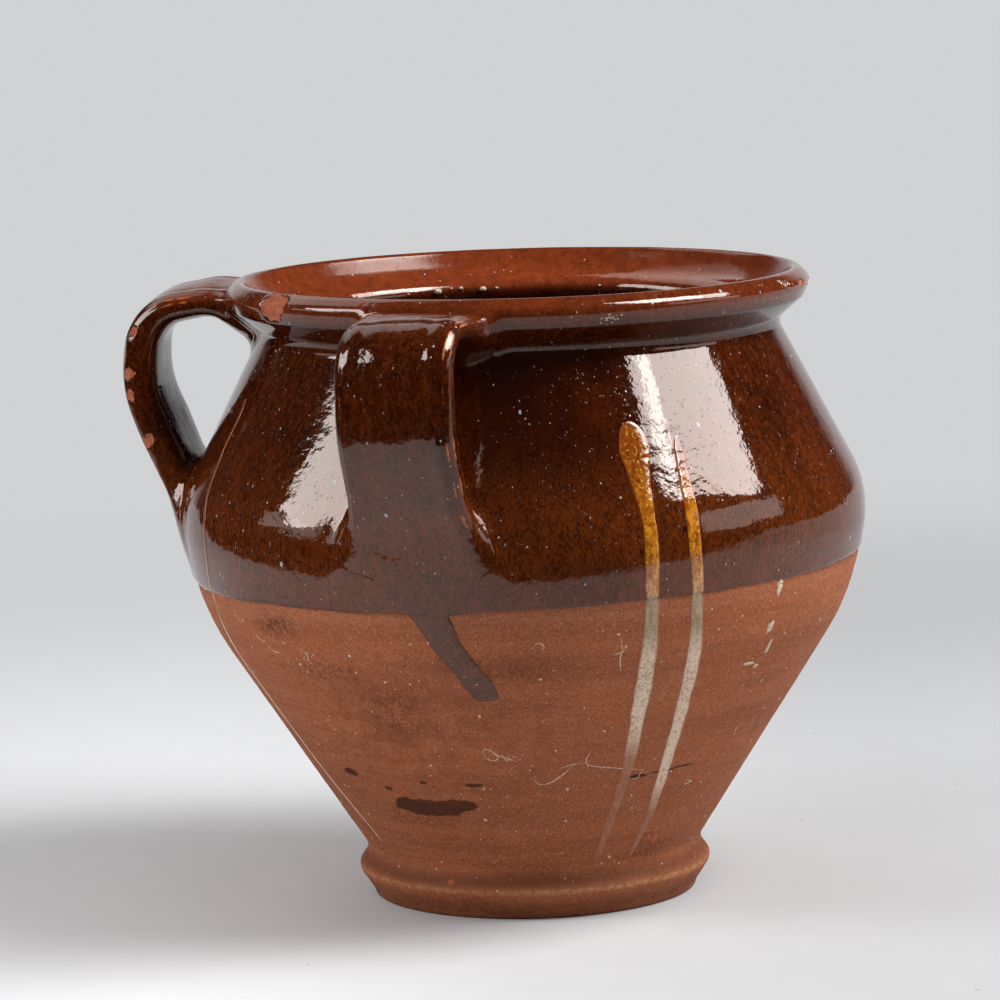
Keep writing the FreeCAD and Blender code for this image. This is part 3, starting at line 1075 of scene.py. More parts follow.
class StrapGrid:
    """A strap before it is turned to its place: rings of points, and values over them."""

    def __init__(self, name):
        self.line = line = Line(STRAP_LINES[name])
        distance = np.linspace(0, line.length, STRAP_ROWS)
        radius, height, out_radius, out_height = (v[:, None] for v in line.at(distance))
        near_lip = 1 - eased(distance / UPPER_ROOT[2])
        near_belly = eased((distance - line.length + LOWER_ROOT[2]) / LOWER_ROOT[2])
        middle = np.sin(math.pi * distance / line.length)
        free_width = STRAP_WIDTHS[name]
        width = free_width + (UPPER_ROOT[0] - free_width) * near_lip
        width += (LOWER_ROOT[0] - free_width) * near_belly
        thickness = STRAP_END_THICKNESS + (STRAP_THICKNESS[name] - STRAP_END_THICKNESS) * middle
        thickness += (UPPER_ROOT[1] - STRAP_END_THICKNESS) * near_lip
        thickness += (LOWER_ROOT[1] - STRAP_END_THICKNESS) * near_belly
        root = np.maximum(near_lip, near_belly)
        crest = bump_at(distance, 0.030, 0.022)
        free, rooted = SQUARENESS
        squareness = free + (rooted - free) * np.maximum(root, 0.6 * crest)
        power = (2 / squareness)[:, None]
        turn = 2 * math.pi * (np.arange(STRAP_SIDES) + 0.5) / STRAP_SIDES
        cosine, sine = np.cos(turn), np.sin(turn)
        across = np.sign(cosine) * np.abs(cosine) ** power * width[:, None] / 2
        through = np.sign(sine) * np.abs(sine) ** power * thickness[:, None] / 2
        self.share = across / (width[:, None] / 2)
        self.depth = through / (thickness[:, None] / 2)
        hug = (ROOT_HUG * near_belly / (2 * BELLY[0]))[:, None]
        lift = through - hug * across ** 2
        twist = np.radians(np.interp(distance / line.length, TWIST_PLACES, STRAP_TWISTS[name]))
        cosine, sine = np.cos(twist)[:, None], np.sin(twist)[:, None]
        self.across = across * cosine + lift * sine
        lift = lift * cosine - across * sine
        # The line runs from the lip down to the belly, so its sideways normal points inwards.
        self.radius = radius - out_radius * lift
        self.height = height - out_height * lift
        self.distance = np.broadcast_to(distance[:, None], across.shape)
        self.rolled = name == "front_strap"
        self.free = (1 - root)[:, None]

    def rings(self, angle):
        """The strap's rings of points, with the strap turned to an angle round the jar."""
        turn = math.radians(angle)
        outward = np.array([math.sin(turn), -math.cos(turn), 0])
        sideways = np.array([math.cos(turn), math.sin(turn), 0])
        return (self.radius[..., None] * outward + self.across[..., None] * sideways
                + self.height[..., None] * np.array([0, 0, 1]))


# ---------------------------------------------------------------- operators


class JAR_OT_clay_body(bpy.types.Operator):
    """The thrown jar of bare clay, a glaze's thickness inside its outline"""

    bl_idname = "jar.clay_body"
    bl_label = "Clay body"

    columns = 400

    # Dark marks: (angle, height, half width, half height, strength)
    marks = [
        (-15.5, 0.0385, 0.0150, 0.0034, 1.0),
        (-7.5, 0.0400, 0.0090, 0.0026, 1.0),
        (-22.5, 0.0400, 0.0050, 0.0024, 0.9),
        (-26.4, 0.0446, 0.0028, 0.0010, 0.9),
        (-37.5, 0.0488, 0.0042, 0.0018, 1.0),
        (-14.7, 0.0480, 0.0022, 0.0013, 0.7),
        (-1.7, 0.0478, 0.0050, 0.0012, 0.6),
        (39.0, 0.0484, 0.0052, 0.0006, 1.0),
        (46.0, 0.0489, 0.0056, 0.0006, 1.0),
        (52.0, 0.0496, 0.0048, 0.0006, 0.9),
        (120.0, 0.0620, 0.0100, 0.0022, 0.9),
        (-170.0, 0.0440, 0.0130, 0.0030, 0.8),
    ]

    # Places where the surface is pocked, and where redder clay shows through, in the same form
    rough_patches = [
        (-15.5, 0.0740, 0.0120, 0.0120, 0.65), (-27.0, 0.0865, 0.0150, 0.0040, 0.6),
        (-36.0, 0.1010, 0.0080, 0.0045, 1.0), (-20.0, 0.0350, 0.0180, 0.0040, 0.6),
        (8.0, 0.0900, 0.0160, 0.0060, 0.55), (53.0, 0.0200, 0.0120, 0.0050, 0.8),
        (140.0, 0.0700, 0.0180, 0.0120, 0.8), (-120.0, 0.0820, 0.0150, 0.0100, 0.7),
    ]
    rust_spots = [
        (28.8, 0.0690, 0.0013, 0.0011, 1.0), (28.2, 0.0630, 0.0006, 0.0014, 1.0),
        (62.8, 0.0512, 0.0006, 0.0024, 1.0), (53.6, 0.0228, 0.0016, 0.0030, 0.9),
        (-16.0, 0.0125, 0.0020, 0.0010, 0.9), (33.0, 0.0800, 0.0006, 0.0006, 1.0),
        (-150.0, 0.0560, 0.0015, 0.0020, 1.0), (110.0, 0.0880, 0.0020, 0.0012, 1.0),
    ]

    def execute(self, context):
        sizes = context.scene.jar_sizes
        top = float(wall_place(sizes.dip_height + 0.006))
        rows = spread((0.0008, 0.009), (0.050, 0.0008), (float(wall_place(0.020)), 0.0009),
                      (top, 0.008), (NECK_PLACE - 0.004, 0.003), (THROAT_PLACE + 0.01, 0.010),
                      (outline.length - 0.002, 0.01))
        angle, place = np.meshgrid(np.arange(self.columns) * 360 / self.columns, rows)
        height = outline.at(place)[1]
        # Under the glaze the clay is out of sight, so it lies a little deeper there.
        inset = sizes.glaze_thickness * eased(height / 0.002) * (place > 0.04)
        hidden = eased((place - top) / 0.002)
        inset = inset + hidden * (0.0003 + 0.0015 * in_lip(place))
        seen = eased(height / 0.0015) * (1 - hidden)
        offset = -inset + seen * clay_relief(angle, place)
        rings = on_surface(angle, place, offset)
        values = {"stain": self.spots(angle, height, self.marks),
                  "scorch": self.scorch(angle, height),
                  "crust": self.crust(angle, place, height), "foot": self.foot(angle, height),
                  "rough_patch": self.spots(angle, height, self.rough_patches),
                  "rust": self.spots(angle, height, self.rust_spots)}
        piece = turned_surface("clay_body", rings, clay_material(), values)
        keep(piece, "red_earthenware", "thrown_body")
        return {"FINISHED"}

    def spots(self, angle, height, spots):
        """How far each point is inside the listed spots, 0 to 1."""
        total = np.zeros(angle.shape)
        for centre, level, half_round, half_up, strength in spots:
            across = np.radians(angle_gap(angle, centre)) * LOW_WALL_RADIUS / half_round
            up = (height - level) / half_up
            reach = strength * np.clip(1.35 - np.sqrt(across ** 2 + up ** 2), 0, 1)
            total = np.maximum(total, reach)
        return total

    def foot(self, angle, height):
        """A darker, browner band on the foot under the bead's crest, and darker towards the
        bottom.
        """
        wave = 0.0006 * soft_noise(around(angle, FOOT_RADIUS, 0.0), 0.025, 62)
        band = bump_at(height + wave, 0.0128, 0.0044) * 0.95
        return band + 0.5 * (1 - eased((height - 0.003) / 0.005))

    def scorch(self, angle, height):
        """Two broad patches that the kiln darkened, in front and behind, and darker clay towards
        the foot's edge.
        """
        across = angle_gap(angle, -8) / 38
        up = (height - 0.066) / 0.032
        front = np.clip(1 - across ** 2 - up ** 2, 0, 1)
        across = angle_gap(angle, 160) / 50
        marked = np.maximum(front, 0.8 * np.clip(1 - across ** 2 - up ** 2, 0, 1))
        return np.maximum(marked, 1 - eased((height - 0.004) / 0.006))

    def crust(self, angle, place, height):
        """Dust on the foot's bead, and a trace of lime under the dip line."""
        edge = bump_at(height, 0.0096, 0.0014) * (place < wall_place(0.02))
        patchy = 0.5 + 0.5 * soft_noise(around(angle, FOOT_RADIUS, 0.0), 0.02, 61)
        under_dip = bump_at(height, dip_line(angle) - 0.003, 0.005) * 0.06
        return np.maximum(edge * (0.4 + 0.6 * patchy), under_dip * (place < LIP_PLACE))


class JAR_OT_straps(bpy.types.Operator):
    """Two pulled straps with rolled edges, smoothed into the neck and the belly"""

    bl_idname = "jar.straps"
    bl_label = "Strap handles"

    # Chips on an edge: (distance along the strap, half length, share through it, half of that)
    chips = {
        "side_strap": [(0.0473, 0.0018, 0.50, 0.26), (0.0606, 0.0024, 0.42, 0.36),
                       (0.0670, 0.0020, 0.50, 0.30), (0.0827, 0.0029, 0.40, 0.42)],
        "front_strap": [],
    }
    chip_depth = 0.0004

    def execute(self, context):
        for name, angle in STRAP_ANGLES.items():
            self.build(name, StrapGrid(name), angle, context.scene.jar_sizes)
        return {"FINISHED"}

    def build(self, name, grid, angle, sizes):
        """One strap: swollen at its roots, hollow between its ridges, chipped at the edge."""
        rings = grid.rings(angle)
        closed, faces = closed_rings(rings)
        solids[name] = BVHTree.FromPolygons(closed.tolist(), faces)
        normals = grid_normals(rings).reshape(-1, 3)
        if solid_distance(solids[name], rings.mean((0, 1))[None] * 1.5)[0] < 0:
            raise RuntimeError(name + " is inside out")
        points = rings.reshape(-1, 3)
        rise = swelling(points, normals, jar_distance, sizes.blend_size, 0.0003)
        rise = (rise * lip_limit(points[:, 2])).reshape(grid.share.shape)
        outer_face = eased(grid.depth * 6)
        hollow = sizes.strap_hollow * outer_face * grid.free
        hollow = hollow * (1 - eased((np.abs(grid.share) - 0.52) / 0.26))
        relief = 0.00008 * soft_noise(rings, 0.010, 71) + 0.00010 * soft_noise(rings, 0.024, 72)
        relief += 0.00003 * soft_noise(rings, 0.0028, 74)
        ridge, lines = self.ridges(grid, rings)
        bare, depth = self.edge_chips(name, grid, rings)
        offset = rise - hollow + relief + ridge - depth - STRAP_INSET
        moved = tucked(points + normals * offset.reshape(-1, 1))
        crest = bump_at(grid.distance, 0.024, 0.024) * eased(grid.depth * 2)
        values = {"thin": lines, "bare": bare, "inside": 0.5 * crest, "deep": 0 * crest,
                  "dish": crest}
        piece = turned_surface(name, moved.reshape(rings.shape), glaze_material(), values)
        keep(piece, "brown_lead_glaze", STRAP_NODES[name])

    def ridges(self, grid, points):
        """The two fine ridges along each edge: how high they stand, and how thin the glaze is."""
        share, depth = np.abs(grid.share), grid.depth
        wander = 0.012 * soft_noise(points, 0.013, 75)
        rolled = grid.rolled & (grid.share < 0)
        upper = bump_at(share, np.where(rolled, 0.86, 0.915) + wander, 0.030) * (depth > 0)
        lower = bump_at(depth, 0.30 + 3 * wander, 0.15) * (share > 0.9) * (0.75 - 0.75 * rolled)
        along = grid.distance
        free = eased((along - 0.016) / 0.01) * eased((grid.line.length - 0.022 - along) / 0.012)
        broken = np.clip(0.75 + 1.2 * soft_noise(points, 0.006, 76), 0, 1)
        thin = np.maximum(upper * (1 - 0.45 * rolled), lower) * (1 if grid.rolled else 0.72)
        return (0.00016 * upper + 0.00012 * lower) * free, thin * free * broken

    def edge_chips(self, name, grid, points):
        """How far each point is inside the strap's chips, 0 to 1, and how deep they are there."""
        bare, depth = np.zeros(grid.share.shape), np.zeros(grid.share.shape)
        ragged = 0.35 * soft_noise(points, 0.0018, 73) + 0.3 * soft_noise(points, 0.0009, 77)
        for along, half_length, through, half_through in self.chips[name]:
            u = (grid.distance - along) / half_length
            v = (grid.depth - through) / half_through
            reach = 1 - np.sqrt(u ** 2 + v ** 2) + ragged - 2 * (grid.share < 0.86)
            bare = np.maximum(bare, eased(reach / CHIP_EDGE))
            depth = np.maximum(depth, self.chip_depth * eased(reach / CHIP_SLOPE))
        return bare, depth


class JAR_OT_glaze_coat(bpy.types.Operator):
    """The brown glaze from the dip line up over the lip, and down the whole inside"""

    bl_idname = "jar.glaze_coat"
    bl_label = "Glaze coat"

    columns = 480
    # How far behind the dip line the first rows lie, and the distance that they share out
    edge_rows = (0, 0.00015, 0.0004, 0.0008, 0.0013, 0.0020, 0.0030, 0.0042, 0.0056)
    edge_reach = 0.0075

    def execute(self, context):
        sizes = context.scene.jar_sizes
        column = np.arange(self.columns) * 360 / self.columns
        start = wall_place(dip_line(column))
        front, back = self.rows(start, sizes)
        angle = np.broadcast_to(column, front.shape)
        bare, chip_depth = chipped(angle, front)
        offset = self.face_offset(angle, front, front - start, sizes) - chip_depth
        points = on_surface(angle, front, offset)
        rise = self.collars(points, front, sizes)
        _, _, out_radius, out_height = outline.at(front)
        points = points + around(angle, out_radius, out_height) * rise[..., None]
        back_angle = np.broadcast_to(column, back.shape)
        depth = COAT_BACK + COAT_BACK_IN_LIP * in_lip(back)
        back_points = on_surface(back_angle, back, -depth)
        values = {"bare": bare, **self.looks(angle, front, points)}
        hidden = np.zeros(back.shape)
        values = {title: np.concatenate([hidden, seen]) for title, seen in values.items()}
        rings = np.concatenate([back_points, points])
        piece = turned_surface("glaze_coat", rings, glaze_material(), values)
        keep(piece, "brown_lead_glaze")
        return {"FINISHED"}

    def rows(self, start, sizes):
        """Places of the coat's face from the dip line on, and of its back the other way."""
        settled = float(wall_place(sizes.dip_height + 0.012))
        end = outline.length - 0.0015
        face = spread((settled, 0.0015), (NECK_PLACE - 0.004, 0.0008),
                      (LIP_PLACE + 0.009, 0.001), (THROAT_PLACE + 0.006, 0.003),
                      (THROAT_PLACE + 0.05, 0.007), (end, 0.007))
        edge = np.array(self.edge_rows) / self.edge_reach
        first = start + (settled - start) * edge[:, None]
        front = np.concatenate([first, np.repeat(face[:, None], self.columns, 1)])
        back = spread((settled, 0.006), (NECK_PLACE, 0.003), (THROAT_PLACE, 0.010), (end, 0.010))
        back = np.repeat(back[:, None], self.columns, 1)
        return front, np.concatenate([(start + 0.0006)[None, :], back])[::-1]

    def face_offset(self, angle, front, reach, sizes):
        """The coat's face against the outline, rounded down to the clay at the dip line."""
        bead = np.sqrt(np.clip(1 - (1 - np.clip(reach / COAT_EDGE, 0, 1)) ** 2, 0, 1))
        swell = 0.00008 * bump_at(reach, 0.0016, 0.0016)
        offset = (glaze_relief(angle, front) + swell + COAT_LIFT) * bead
        return offset - (1 - bead) * (sizes.glaze_thickness + 0.0002)

    def looks(self, angle, front, points):
        """Where the glaze is thin, red as on the inside, dull as in the lip's dish, and painted
        shade.
        """
        height = outline.at(front)[1]
        # Below the throat the glaze is painted darker and less red, as shade
        below = eased((front - THROAT_PLACE + 0.001) / 0.003)
        inside = eased((front - LIP_PLACE - 0.001) / 0.004) * (1 - 0.9 * below)
        lip = eased((front - float(wall_place(0.1950))) / 0.003) * (front < LIP_PLACE + 0.003)
        dish = (eased((front - LIP_PLACE - 0.0025) / 0.003)
                * eased((THROAT_PLACE - 0.0055 - front) / 0.003))
        # Painted shade: darker glaze on the front of the shoulder, where it faces the camera
        deep = eased((height - 0.134) / 0.030) * bump_at(np.abs(angle_gap(angle, 17)), 0, 34)
        deep = np.clip(deep * (1.1 + 0.6 * soft_noise(points, 0.014, 82)), 0, 1)
        return {"thin": self.thin(angle, front, height), "dish": dish,
                "inside": np.maximum(inside, 0.55 * lip),
                "deep": np.where(front < NECK_PLACE, deep, 0.9 * below)}

    def collars(self, points, place, sizes):
        """How far the coat swells out round the straps' roots."""
        rise = np.zeros(place.shape)
        _, _, out_radius, out_height = outline.at(place)
        bearing = np.degrees(np.arctan2(points[..., 0], -points[..., 1]))
        for name, angle in STRAP_ANGLES.items():
            near = np.abs(angle_gap(bearing, angle)) < COLLAR_ANGLE
            near &= place < LIP_PLACE + COLLAR_PAST_LIP
            spots = points[near]
            turn = np.radians(bearing[near])
            normals = np.stack([out_radius[near] * np.sin(turn), -out_radius[near] * np.cos(turn),
                                out_height[near]], -1)
            swollen = swelling(spots, normals, lambda p: solid_distance(solids[name], p),
                               sizes.blend_size, 0.0)
            rise[near] = np.maximum(rise[near], swollen * lip_limit(spots[:, 2]))
        return rise

    def thin(self, angle, place, height):
        """Where the glaze runs thin: on the lip's two edges."""
        points = around(angle, outline.at(place)[0], height)
        lip = bump_at(place, float(wall_place(0.2012)), 0.0016) * 0.28
        inner = bump_at(place, LIP_PLACE + 0.0035, 0.0014) * 0.3
        wave = 0.75 + 0.5 * soft_noise(points, 0.012, 81)
        return np.maximum(lip, inner) * wave


class JAR_OT_dark_run(bpy.types.Operator):
    """The short thick run of brown glaze that hangs from the dip line"""

    bl_idname = "jar.dark_run"
    bl_label = "Dark run"

    # The run's middle line as (angle, height), and its width at each point
    path = [(-4.4, 0.1120), (-3.7, 0.1085), (-2.5, 0.1035), (-0.8, 0.0967), (1.7, 0.0895),
            (3.4, 0.0845), (4.4, 0.0805), (4.7, 0.0786)]
    widths = [0.0190, 0.0138, 0.0108, 0.0100, 0.0098, 0.0094, 0.0080, 0.0064]
    thickness = 0.00055

    def execute(self, context):
        piece = wall_run("dark_run", self.path, self.widths, self.thickness, glaze_material(), 91)
        keep(piece, "brown_lead_glaze", "dark_glaze_run")
        return {"FINISHED"}


class JAR_OT_amber_runs(bpy.types.Operator):
    """The two long runs of clear amber glaze at the right, and a thread of it at the left"""

    bl_idname = "jar.amber_runs"
    bl_label = "Amber runs"

    thickness = 0.00016
    # Each run's middle line as (angle, height), its widths, and the height that it fades below
    runs = {
        "amber_run_left": (
            [(32.9, 0.1650), (33.0, 0.1600), (32.9, 0.1550), (32.9, 0.1500),
             (32.9, 0.1430), (33.1, 0.1340), (33.2, 0.1220), (33.4, 0.1100),
             (33.8, 0.0970), (34.4, 0.0800), (35.3, 0.0590), (35.6, 0.0480),
             (34.4, 0.0300), (33.2, 0.0180)],
            [0.0050, 0.0088, 0.0094, 0.0074, 0.0058, 0.0046, 0.0046, 0.0047, 0.0054,
             0.0062, 0.0046, 0.0034, 0.0026, 0.0018],
            0.070),
        "amber_run_right": (
            [(41.8, 0.1600), (41.2, 0.1500), (40.9, 0.1400), (40.7, 0.1300),
             (41.0, 0.1220), (41.6, 0.1120), (42.1, 0.1020), (43.2, 0.0900),
             (44.0, 0.0790), (45.0, 0.0660), (46.0, 0.0515), (46.6, 0.0430),
             (47.2, 0.0340), (46.6, 0.0260), (45.6, 0.0180)],
            [0.0024, 0.0036, 0.0044, 0.0044, 0.0044, 0.0044, 0.0048, 0.0054, 0.0054,
             0.0050, 0.0046, 0.0044, 0.0030, 0.0024, 0.0020],
            0.050),
        "amber_run_side": (
            [(-57.4, 0.1690), (-57.0, 0.1630), (-57.6, 0.1532), (-56.5, 0.1425),
             (-54.6, 0.1325), (-53.6, 0.1255), (-53.9, 0.1195), (-54.8, 0.1130),
             (-55.6, 0.1060), (-56.8, 0.0950), (-57.2, 0.0868), (-57.0, 0.0782),
             (-56.2, 0.0690), (-55.4, 0.0598), (-54.0, 0.0502), (-52.0, 0.0418),
             (-49.4, 0.0345), (-46.8, 0.0280), (-44.8, 0.0215)],
            [0.0016] * 7 + [0.0018] * 8 + [0.0015, 0.0012, 0.0010, 0.0008],
            0.0),
    }

    def execute(self, context):
        clear, trickle = run_material("amber_run", 0.0), run_material("faint_run", 0.85)
        for name, (path, widths, fade_from) in self.runs.items():
            faint = name == "amber_run_side"
            piece = wall_run(name, path, widths, self.thickness, trickle if faint else clear,
                             92, fade_from)
            keep(piece, "amber_glaze", *([] if faint else ["amber_glaze_runs"]))
        return {"FINISHED"}


class JAR_OT_marks(bpy.types.Operator):
    """Specks and blotches of lime, and the pale strokes scratched in the bare clay"""

    bl_idname = "jar.marks"
    bl_label = "Lime and scratches"

    # Blotches: (angle, height, half width, half height)
    blotches = [
        (59.6, 0.1080, 0.0014, 0.0024), (59.9, 0.1105, 0.0008, 0.0008),
        (59.6, 0.0955, 0.0015, 0.0028), (61.4, 0.0885, 0.0010, 0.0030),
        (57.8, 0.0838, 0.0026, 0.0009), (60.2, 0.0822, 0.0012, 0.0010),
        (3.5, 0.0895, 0.0009, 0.0005), (14.8, 0.0860, 0.0006, 0.0006),
        (-20.0, 0.0930, 0.0007, 0.0006), (28.0, 0.1000, 0.0006, 0.0005),
        (-35.0, 0.0950, 0.0006, 0.0007), (-33.0, 0.0880, 0.0008, 0.0006),
    ]
    # Scratches, each through its points of (angle, height)
    strokes = [
        [(2.6, 0.0588), (2.1, 0.0602), (3.0, 0.0612), (4.4, 0.0600), (5.3, 0.0580), (4.2, 0.0570),
         (3.0, 0.0576), (2.2, 0.0590)],
        [(4.8, 0.0594), (6.4, 0.0582), (7.6, 0.0578), (9.2, 0.0566)],
        [(6.2, 0.0592), (7.0, 0.0570)],
        [(12.6, 0.0507), (14.2, 0.0482), (16.7, 0.0484), (19.5, 0.0508), (22.4, 0.0545),
         (24.4, 0.0554)],
        [(19.2, 0.0536), (21.2, 0.0545), (22.8, 0.0552)],
        [(25.8, 0.0592), (25.0, 0.0560), (25.9, 0.0532)],
        [(24.6, 0.0552), (27.1, 0.0536), (33.0, 0.0521), (39.9, 0.0504)],
        [(40.2, 0.0508), (39.5, 0.0488), (39.1, 0.0476), (36.9, 0.0475)],
        [(28.4, 0.0990), (28.9, 0.0950), (28.8, 0.0910), (29.3, 0.0866)],
        [(27.2, 0.0930), (28.6, 0.0936), (29.7, 0.0946)],
        [(13.2, 0.0965), (14.4, 0.0984), (15.4, 0.0972), (15.0, 0.0956)],
        [(-48.4, 0.1034), (-47.6, 0.1010), (-46.6, 0.0990)],
        [(-43.0, 0.0960), (-41.6, 0.0942), (-40.6, 0.0944)],
        [(-40.4, 0.0930), (-39.2, 0.0912), (-37.6, 0.0910)],
        [(-30.6, 0.0935), (-30.0, 0.0915), (-30.2, 0.0898)],
        [(58.6, 0.1096), (60.0, 0.1118)],
        [(66.5, 0.0560), (65.6, 0.0590), (66.6, 0.0608)],
        [(150.0, 0.0700), (154.0, 0.0712), (159.0, 0.0690)],
        [(-122.0, 0.0540), (-118.0, 0.0528), (-113.0, 0.0538)],
    ]
    # Sand stuck in the glaze: (angle, height, spread round, spread up, grains)
    sand = [(30.0, 0.1972, 0.0040, 0.0016, 34), (77.0, 0.2016, 0.0050, 0.0018, 34),
            (94.0, 0.1996, 0.0050, 0.0018, 26), (-31.0, 0.0905, 0.0050, 0.0040, 16),
            (8.0, 0.0575, 0.0030, 0.0010, 12), (57.0, 0.0430, 0.0020, 0.0012, 14)]
    highest = 0.2034
    speck_count = 480
    speck_heights = (0.012, 0.106)

    def execute(self, context):
        rng = np.random.default_rng(7)
        points, faces = [], []
        spots = list(self.blotches)
        for angle, height, round_spread, up_spread, grains in self.sand:
            radius = float(outline.at(float(wall_place(height)))[0])
            for _ in range(grains):
                size = 0.00016 + 0.00022 * rng.random() ** 2
                across, up = rng.normal(0, 0.5, 2)
                spots.append((angle + math.degrees(across * round_spread / radius),
                              min(height + up * up_spread, self.highest), size, size))
        for _ in range(self.speck_count):
            size = 0.00022 + 0.0004 * rng.random() ** 3
            spots.append((rng.uniform(-180, 180), rng.uniform(*self.speck_heights), size,
                          size * rng.uniform(0.7, 1.4)))
        for angle, height, half_round, half_up in spots:
            self.dome(points, faces, angle, height, half_round, half_up, rng)
        for stroke in self.strokes:
            self.stroke(points, faces, stroke, rng)
        piece = make_piece("lime_specks", np.array(points), faces, lime_material())
        keep(piece, "red_earthenware")
        return {"FINISHED"}

    def dome(self, points, faces, angle, height, half_round, half_up, rng):
        """A low ragged dome on the wall."""
        sides = 12 if half_round > 0.0009 else 7
        first = len(points)
        place = float(wall_place(height))
        radius = float(outline.at(place)[0])
        turn = np.arange(sides) * 2 * math.pi / sides
        ragged = 1 + 0.3 * rng.uniform(-1, 1, sides)
        for size, lift in ((1.0, -0.0001), (0.8, 0.00006)):
            angles = angle + np.degrees(np.cos(turn) * half_round * size * ragged / radius)
            places = place + np.sin(turn) * half_up * size * ragged
            points.extend(on_surface(angles, places, surface_offset(angles, places) + lift))
        centre = np.array([angle]), np.array([place])
        base = surface_offset(*centre)
        points.extend(on_surface(*centre, base + 0.00009))
        points.extend(on_surface(*centre, base - 0.0002))
        for i in range(sides):
            j = (i + 1) % sides
            faces.append([first + i, first + j, first + sides + j, first + sides + i])
            faces.append([first + sides + i, first + sides + j, first + 2 * sides])
            faces.append([first + j, first + i, first + 2 * sides + 1])

    def stroke(self, points, faces, stroke, rng):
        """A thin ridge along a scratch, widest in its middle."""
        count = len(stroke) * 7
        line = smooth_through(stroke, count)
        first = len(points)
        place = wall_place(line[:, 1])
        radius = outline.at(place)[0]
        metres = np.stack([np.radians(line[:, 0]) * radius, place], -1)
        along = np.gradient(metres, axis=0)
        along /= np.linalg.norm(along, axis=1, keepdims=True)
        normal = np.stack([-along[:, 1], along[:, 0]], -1)
        share = np.linspace(0, 1, count)
        half = 0.00024 * (0.25 + np.sin(math.pi * share)) * (1 + 0.5 * rng.uniform(-1, 1, count))
        for side, lift in ((-1, -0.00005), (0, 0.00007), (1, -0.00005), (0, -0.0002)):
            angles = line[:, 0] + np.degrees(normal[:, 0] * half * side / radius)
            places = place + normal[:, 1] * half * side
            points.extend(on_surface(angles, places, surface_offset(angles, places) + lift))
        for i in range(count - 1):
            for side in range(4):
                a = first + side * count + i
                b = first + (side + 1) % 4 * count + i
                faces.append([a, a + 1, b + 1, b])
        faces.append([first + side * count for side in range(4)])
        faces.append([first + side * count + count - 1 for side in (3, 2, 1, 0)])


class JAR_OT_crumbs(bpy.types.Operator):
    """Crumbs of lime and yellow ash stuck in the throat's glaze"""

    bl_idname = "jar.crumbs"
    bl_label = "Throat crumbs"

    def execute(self, context):
        rng = np.random.default_rng(17)
        points, faces = [], []
        spots = [(-147.0, 0.0016), (-153.0, 0.0009), (-158.5, 0.0014), (-150.5, 0.0006),
                 (-162.0, 0.0006), (-139.0, 0.0005), (172.0, 0.0005), (60.0, 0.0007),
                 (20.0, 0.0008), (-60.0, 0.0006), (110.0, 0.0009)]
        for angle, size in spots:
            self.crumb(points, faces, angle, THROAT_PLACE + 0.0012 * rng.random(), size, rng)
        piece = make_piece("throat_crumbs", np.array(points), faces, stained_lime_material())
        keep(piece, "amber_glaze")
        return {"FINISHED"}

    def crumb(self, points, faces, angle, place, size, rng):
        """A small rough lump, sunk a third of its size in the glaze."""
        first = len(points)
        centre = on_surface(np.array([angle]), np.array([place]), np.array([size * 0.15]))[0]
        rings, sides = 5, 9
        for i in range(1, rings):
            tilt = math.pi * i / rings
            for j in range(sides):
                turn = 2 * math.pi * j / sides
                rough = size * rng.uniform(0.7, 1.0)
                points.append(centre + rough * np.array([
                    math.sin(tilt) * math.cos(turn), math.sin(tilt) * math.sin(turn),
                    0.7 * math.cos(tilt)]))
        points.append(centre + (0, 0, size * 0.62))
        points.append(centre - (0, 0, size * 0.62))
        last = first + (rings - 1) * sides
        for i in range(rings - 2):
            for j in range(sides):
                a, b = first + i * sides + j, first + i * sides + (j + 1) % sides
                faces.append([b, a, a + sides, b + sides])
        for j in range(sides):
            faces.append([first + j, first + (j + 1) % sides, last])
            low = last - sides
            faces.append([low + (j + 1) % sides, low + j, last + 1])


def seen_straight(tree, path):
    """1 for what the camera sees, also through something clear."""
    return maths(tree, "ADD", path["Is Camera Ray"], path["Is Transmission Ray"], clamp=True)


